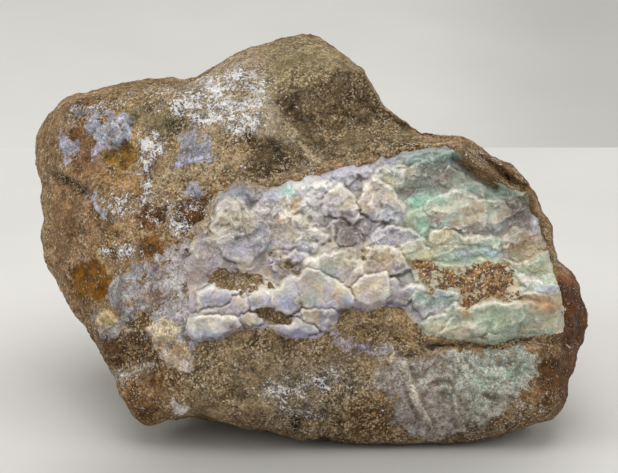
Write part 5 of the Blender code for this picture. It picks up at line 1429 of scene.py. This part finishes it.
opal_stuff, tree, shader = new_material("milky_opal")
where = node(tree, "TexCoord").outputs["Object"]
cloud = noise(tree, where, 260, 7, 0.6, 1.0)
fleck = noise(tree, where, 900, 5, 0.65, 0.6)
chalk = noise(tree, where, 2600, 3, 0.6)
play = noise(tree, where, 340, 4, 0.6, 1.4)
crystals = chances(tree, cells(tree, where, 2700))[2]
mottled = kept(tree, "mottled")
milky = spread(tree, kept(tree, "glassy"), 0, 1, 1, 0.2)

colour = kept(tree, "tint", "Color")
colour = toned(tree, 1.0, colour, cloud, 0.32, 0.68, 0.84, 1.12)
colour = toned(tree, mottled, colour, fleck, 0.36, 0.64, 0.78, 1.18)
colour = toned(tree, mottled, colour, chalk, 0.36, 0.64, 0.82, 1.18)
colour = toned(tree, mottled, colour, crystals, 0.0, 1.0, 0.84, 1.18, soft=False)
colour = specked(tree, colour, (150, 212, 196), play, 0.56, 0.68, 0.20)
colour = specked(tree, colour, (186, 176, 226), play, 0.44, 0.32, 0.20, milky)
colour = specked(tree, colour, (216, 186, 134), noise(tree, where, 500, 4, 0.65, 0.8), 0.60, 0.72, 0.25)
colour = specked(tree, colour, (226, 222, 216), fleck, 0.60, 0.70, 0.25)
# Painted glints along thin wandering lines
colour = specked(tree, colour, (236, 230, 220), wrinkles(tree, where, 620, 4, 0.6, 0.7), 0.022, 0.0, 0.34)
pits = spread(tree, noise(tree, where, 1300, 5, 0.7, 1.0), 0.44, 0.38, 0.0, 0.55)
pits = product(tree, pits, milky, spread(tree, mottled, 0.4, 0.8))
colour = layered(tree, pits, colour, flat((112, 102, 100)))

# Rusty crust, in clumps of fine grains
rust_grain = noise(tree, where, 1100, 5, 0.75, 0.5)
clumps = noise(tree, where, 430, 4, 0.65, 0.6)
crust_height = summed(tree, kept(tree, "crusty"), product(tree, rust_grain, 1.3), product(tree, clumps, 1.9))
rust_share = spread(tree, crust_height, 2.36, 2.50)
yellower = spread(tree, noise(tree, where, 560, 6, 0.78, 0.6), 0.44, 0.62)
rust = layered(tree, yellower, flat((84, 51, 19)), flat((180, 135, 74)))
rust = specked(tree, rust, (226, 208, 170), noise(tree, where, 1700, 3, 0.6), 0.57, 0.63, 0.85)
rust = toned(tree, 1.0, rust, crystals, 0.0, 1.0, 0.72, 1.30, soft=False)
colour = layered(tree, rust_share, colour, rust)

# Sand of the rock that sticks between the lumps
sand_height = summed(tree, kept(tree, "sandy"), product(tree, rust_grain, 1.4))
sand_share = spread(tree, sand_height, 1.14, 1.46)
paler = spread(tree, noise(tree, where, 2200, 3, 0.7), 0.38, 0.62)
sand = layered(tree, paler, flat((78, 60, 36)), flat((156, 130, 88)))
sand = specked(tree, sand, (206, 186, 148), noise(tree, where, 1500, 3, 0.6), 0.58, 0.66, 1.0)
sand = toned(tree, 1.0, sand, crystals, 0.0, 1.0, 0.64, 1.34, soft=False)
colour = layered(tree, sand_share, colour, sand)

rough = spread(tree, fleck, 0.3, 0.7, 0.34, 0.62)
rough = figure(tree, "SUBTRACT", rough, product(tree, kept(tree, "glassy"), 0.08))
grainy = figure(tree, "MAXIMUM", rust_share, sand_share)
rough = summed(tree, rough, product(tree, grainy, 0.35))
relief = summed(tree, product(tree, fleck, 0.7), product(tree, chalk, 0.3), product(tree, rust_share, 0.35))
join_up(tree, shader, colour, rough, relief, 0.0008)
shader.inputs["Subsurface Weight"].default_value = 0.08
shader.inputs["Subsurface Radius"].default_value = (0.0016, 0.0014, 0.0013)
shader.inputs["Subsurface Scale"].default_value = 1.0
shader.inputs["Coat Weight"].default_value = 0.40
shader.inputs["Coat Roughness"].default_value = 0.12
opal_seam.data.materials.append(opal_stuff)
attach(opal_seam, "root")
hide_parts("opal_seam")

# Table and backdrop
# A plain pale table top that runs back to a plain pale backdrop, which rises gently. Neither is part of
# the stone. The table carries a painted shadow in front of the stone, and painted shade darkens the table
# towards the front and the backdrop towards the right.

SHEET_REACH = 3.0               # how far both run to the sides, and out in front and behind
UNDER_FOOT = -0.0001            # the table lies a hair below the stone's foot
BACKDROP_AT = 0.264             # how far behind the stone's middle the backdrop starts
BACKDROP_TOP = (SHEET_REACH - BACKDROP_AT) * math.tan(math.radians(8.0))
PAINTED_SHADOW_ACROSS = (0.03, 0.085)   # the painted shadow in front of the stone is full out to here on either side, and gone by here
PAINTED_SHADOW_ALONG = (-0.06, -0.02)   # and full from here forwards, and gone by here


def add_sheet(name, near, far, colour, roughness, axis, low, high, tone_low, tone_high, middle=1.0):
    """Flat pale sheet with faint, soft unevenness of tone, painted shade that darkens it along one axis, and,
    where asked, a painted shadow in front of the stone.
    """
    shape = bmesh.new()
    corners = [(-SHEET_REACH, *near), (SHEET_REACH, *near), (SHEET_REACH, *far), (-SHEET_REACH, *far)]
    shape.faces.new([shape.verts.new(corner) for corner in corners])
    sheet = add_piece(name, shape)
    made, tree, shader = new_material(name)
    where = node(tree, "TexCoord").outputs["Object"]
    parts = node(tree, "SeparateXYZ", {0: where}).outputs
    cloudy = spread(tree, noise(tree, where, 9, 4, 0.5), 0.3, 0.7)
    tone = layered(tree, cloudy, flat([step * 0.97 for step in colour]), flat(colour))
    # Painted shade: darker along one axis
    tone = toned(tree, 1.0, tone, parts[axis], low, high, tone_low, tone_high)
    # Painted shadow on the middle of the table, in front of the stone
    beside = spread(tree, figure(tree, "ABSOLUTE", parts[0]), *PAINTED_SHADOW_ACROSS, 1.0, 0.0)
    close = product(tree, beside, spread(tree, parts[1], *PAINTED_SHADOW_ALONG, 1.0, 0.0))
    tone = layered(tree, close, tone, flat([step * middle for step in colour]))
    tree.links.new(tone, shader.inputs["Base Color"])
    shader.inputs["Roughness"].default_value = roughness
    shader.inputs["Specular IOR Level"].default_value = 0.3
    sheet.data.materials.append(made)


# The table darkens towards the front with painted shade, and carries the painted shadow in front of the stone
add_sheet(
    "table_top", (-SHEET_REACH, UNDER_FOOT), (BACKDROP_AT, UNDER_FOOT), (221, 220, 217), 0.55,
    1, -0.13, 0.08, 0.80, 1.0, middle=0.74,
)
# The backdrop darkens towards the right with painted shade
add_sheet(
    "backdrop", (BACKDROP_AT, UNDER_FOOT), (SHEET_REACH, BACKDROP_TOP), (211, 211, 208), 0.8,
    0, 0.03, 0.13, 1.0, 0.76,
)

# Light and camera
# A broad soft lamp overhead, a smaller one on either side, a wide fill in front, and pale light from all
# round. The camera stands in front, looking down on the face.

world = bpy.data.worlds.new("studio")
world.use_nodes = True
all_round = world.node_tree.nodes["Background"]
all_round.inputs["Color"].default_value = (1.0, 0.985, 0.96, 1.0)
all_round.inputs["Strength"].default_value = 0.42
bpy.context.scene.world = world
bpy.context.scene.view_settings.view_transform = "Standard"
bpy.context.scene.view_settings.look = "None"


def add_lamp(name, place, aim, size, power, colour):
    """Square soft lamp pointing at a place."""
    lamp = bpy.data.lights.new(name, "AREA")
    lamp.size = size
    lamp.energy = power
    lamp.color = colour
    held = bpy.data.objects.new(name, lamp)
    held.location = place
    way = Vector(aim) - Vector(place)
    held.rotation_euler = way.to_track_quat("-Z", "Y").to_euler()
    bpy.context.scene.collection.objects.link(held)


add_lamp("key", (-0.02, -0.06, 0.95), (0.0, 0.0, 0.03), 0.90, 6.2, (1.0, 0.99, 0.97))
add_lamp("left", (-0.75, -0.28, 0.45), (0.0, 0.0, 0.01), 0.50, 2.2, (1.0, 0.99, 0.97))
add_lamp("right", (0.75, -0.28, 0.45), (0.0, 0.0, 0.01), 0.50, 2.2, (1.0, 0.99, 0.97))
add_lamp("fill", (-0.3, -1.1, 0.6), (0.0, 0.0, 0.04), 0.9, 2.2, (1.0, 0.98, 0.95))

VIEW_TIP = math.radians(17.0)   # how far the camera looks down
PIXELS_PER_MM = 3.667           # at the stone's middle
PICTURE_WIDE = 618              # in pixels
SENSOR = 36.0
camera = bpy.data.cameras.new("camera")
camera.sensor_width = SENSOR
camera.lens = SENSOR * PIXELS_PER_MM * REACH / PICTURE_WIDE
camera.shift_x = -1.0 / PICTURE_WIDE
camera.shift_y = 3.5 / PICTURE_WIDE
camera.clip_start = 0.01
view = bpy.data.objects.new("camera", camera)
view.location = (0.0, -REACH * MM * math.cos(VIEW_TIP), (MIDDLE_HEIGHT + REACH * math.sin(VIEW_TIP)) * MM)
view.rotation_euler = (math.pi / 2 - VIEW_TIP, 0.0, 0.0)
bpy.context.scene.collection.objects.link(view)
bpy.context.scene.camera = view
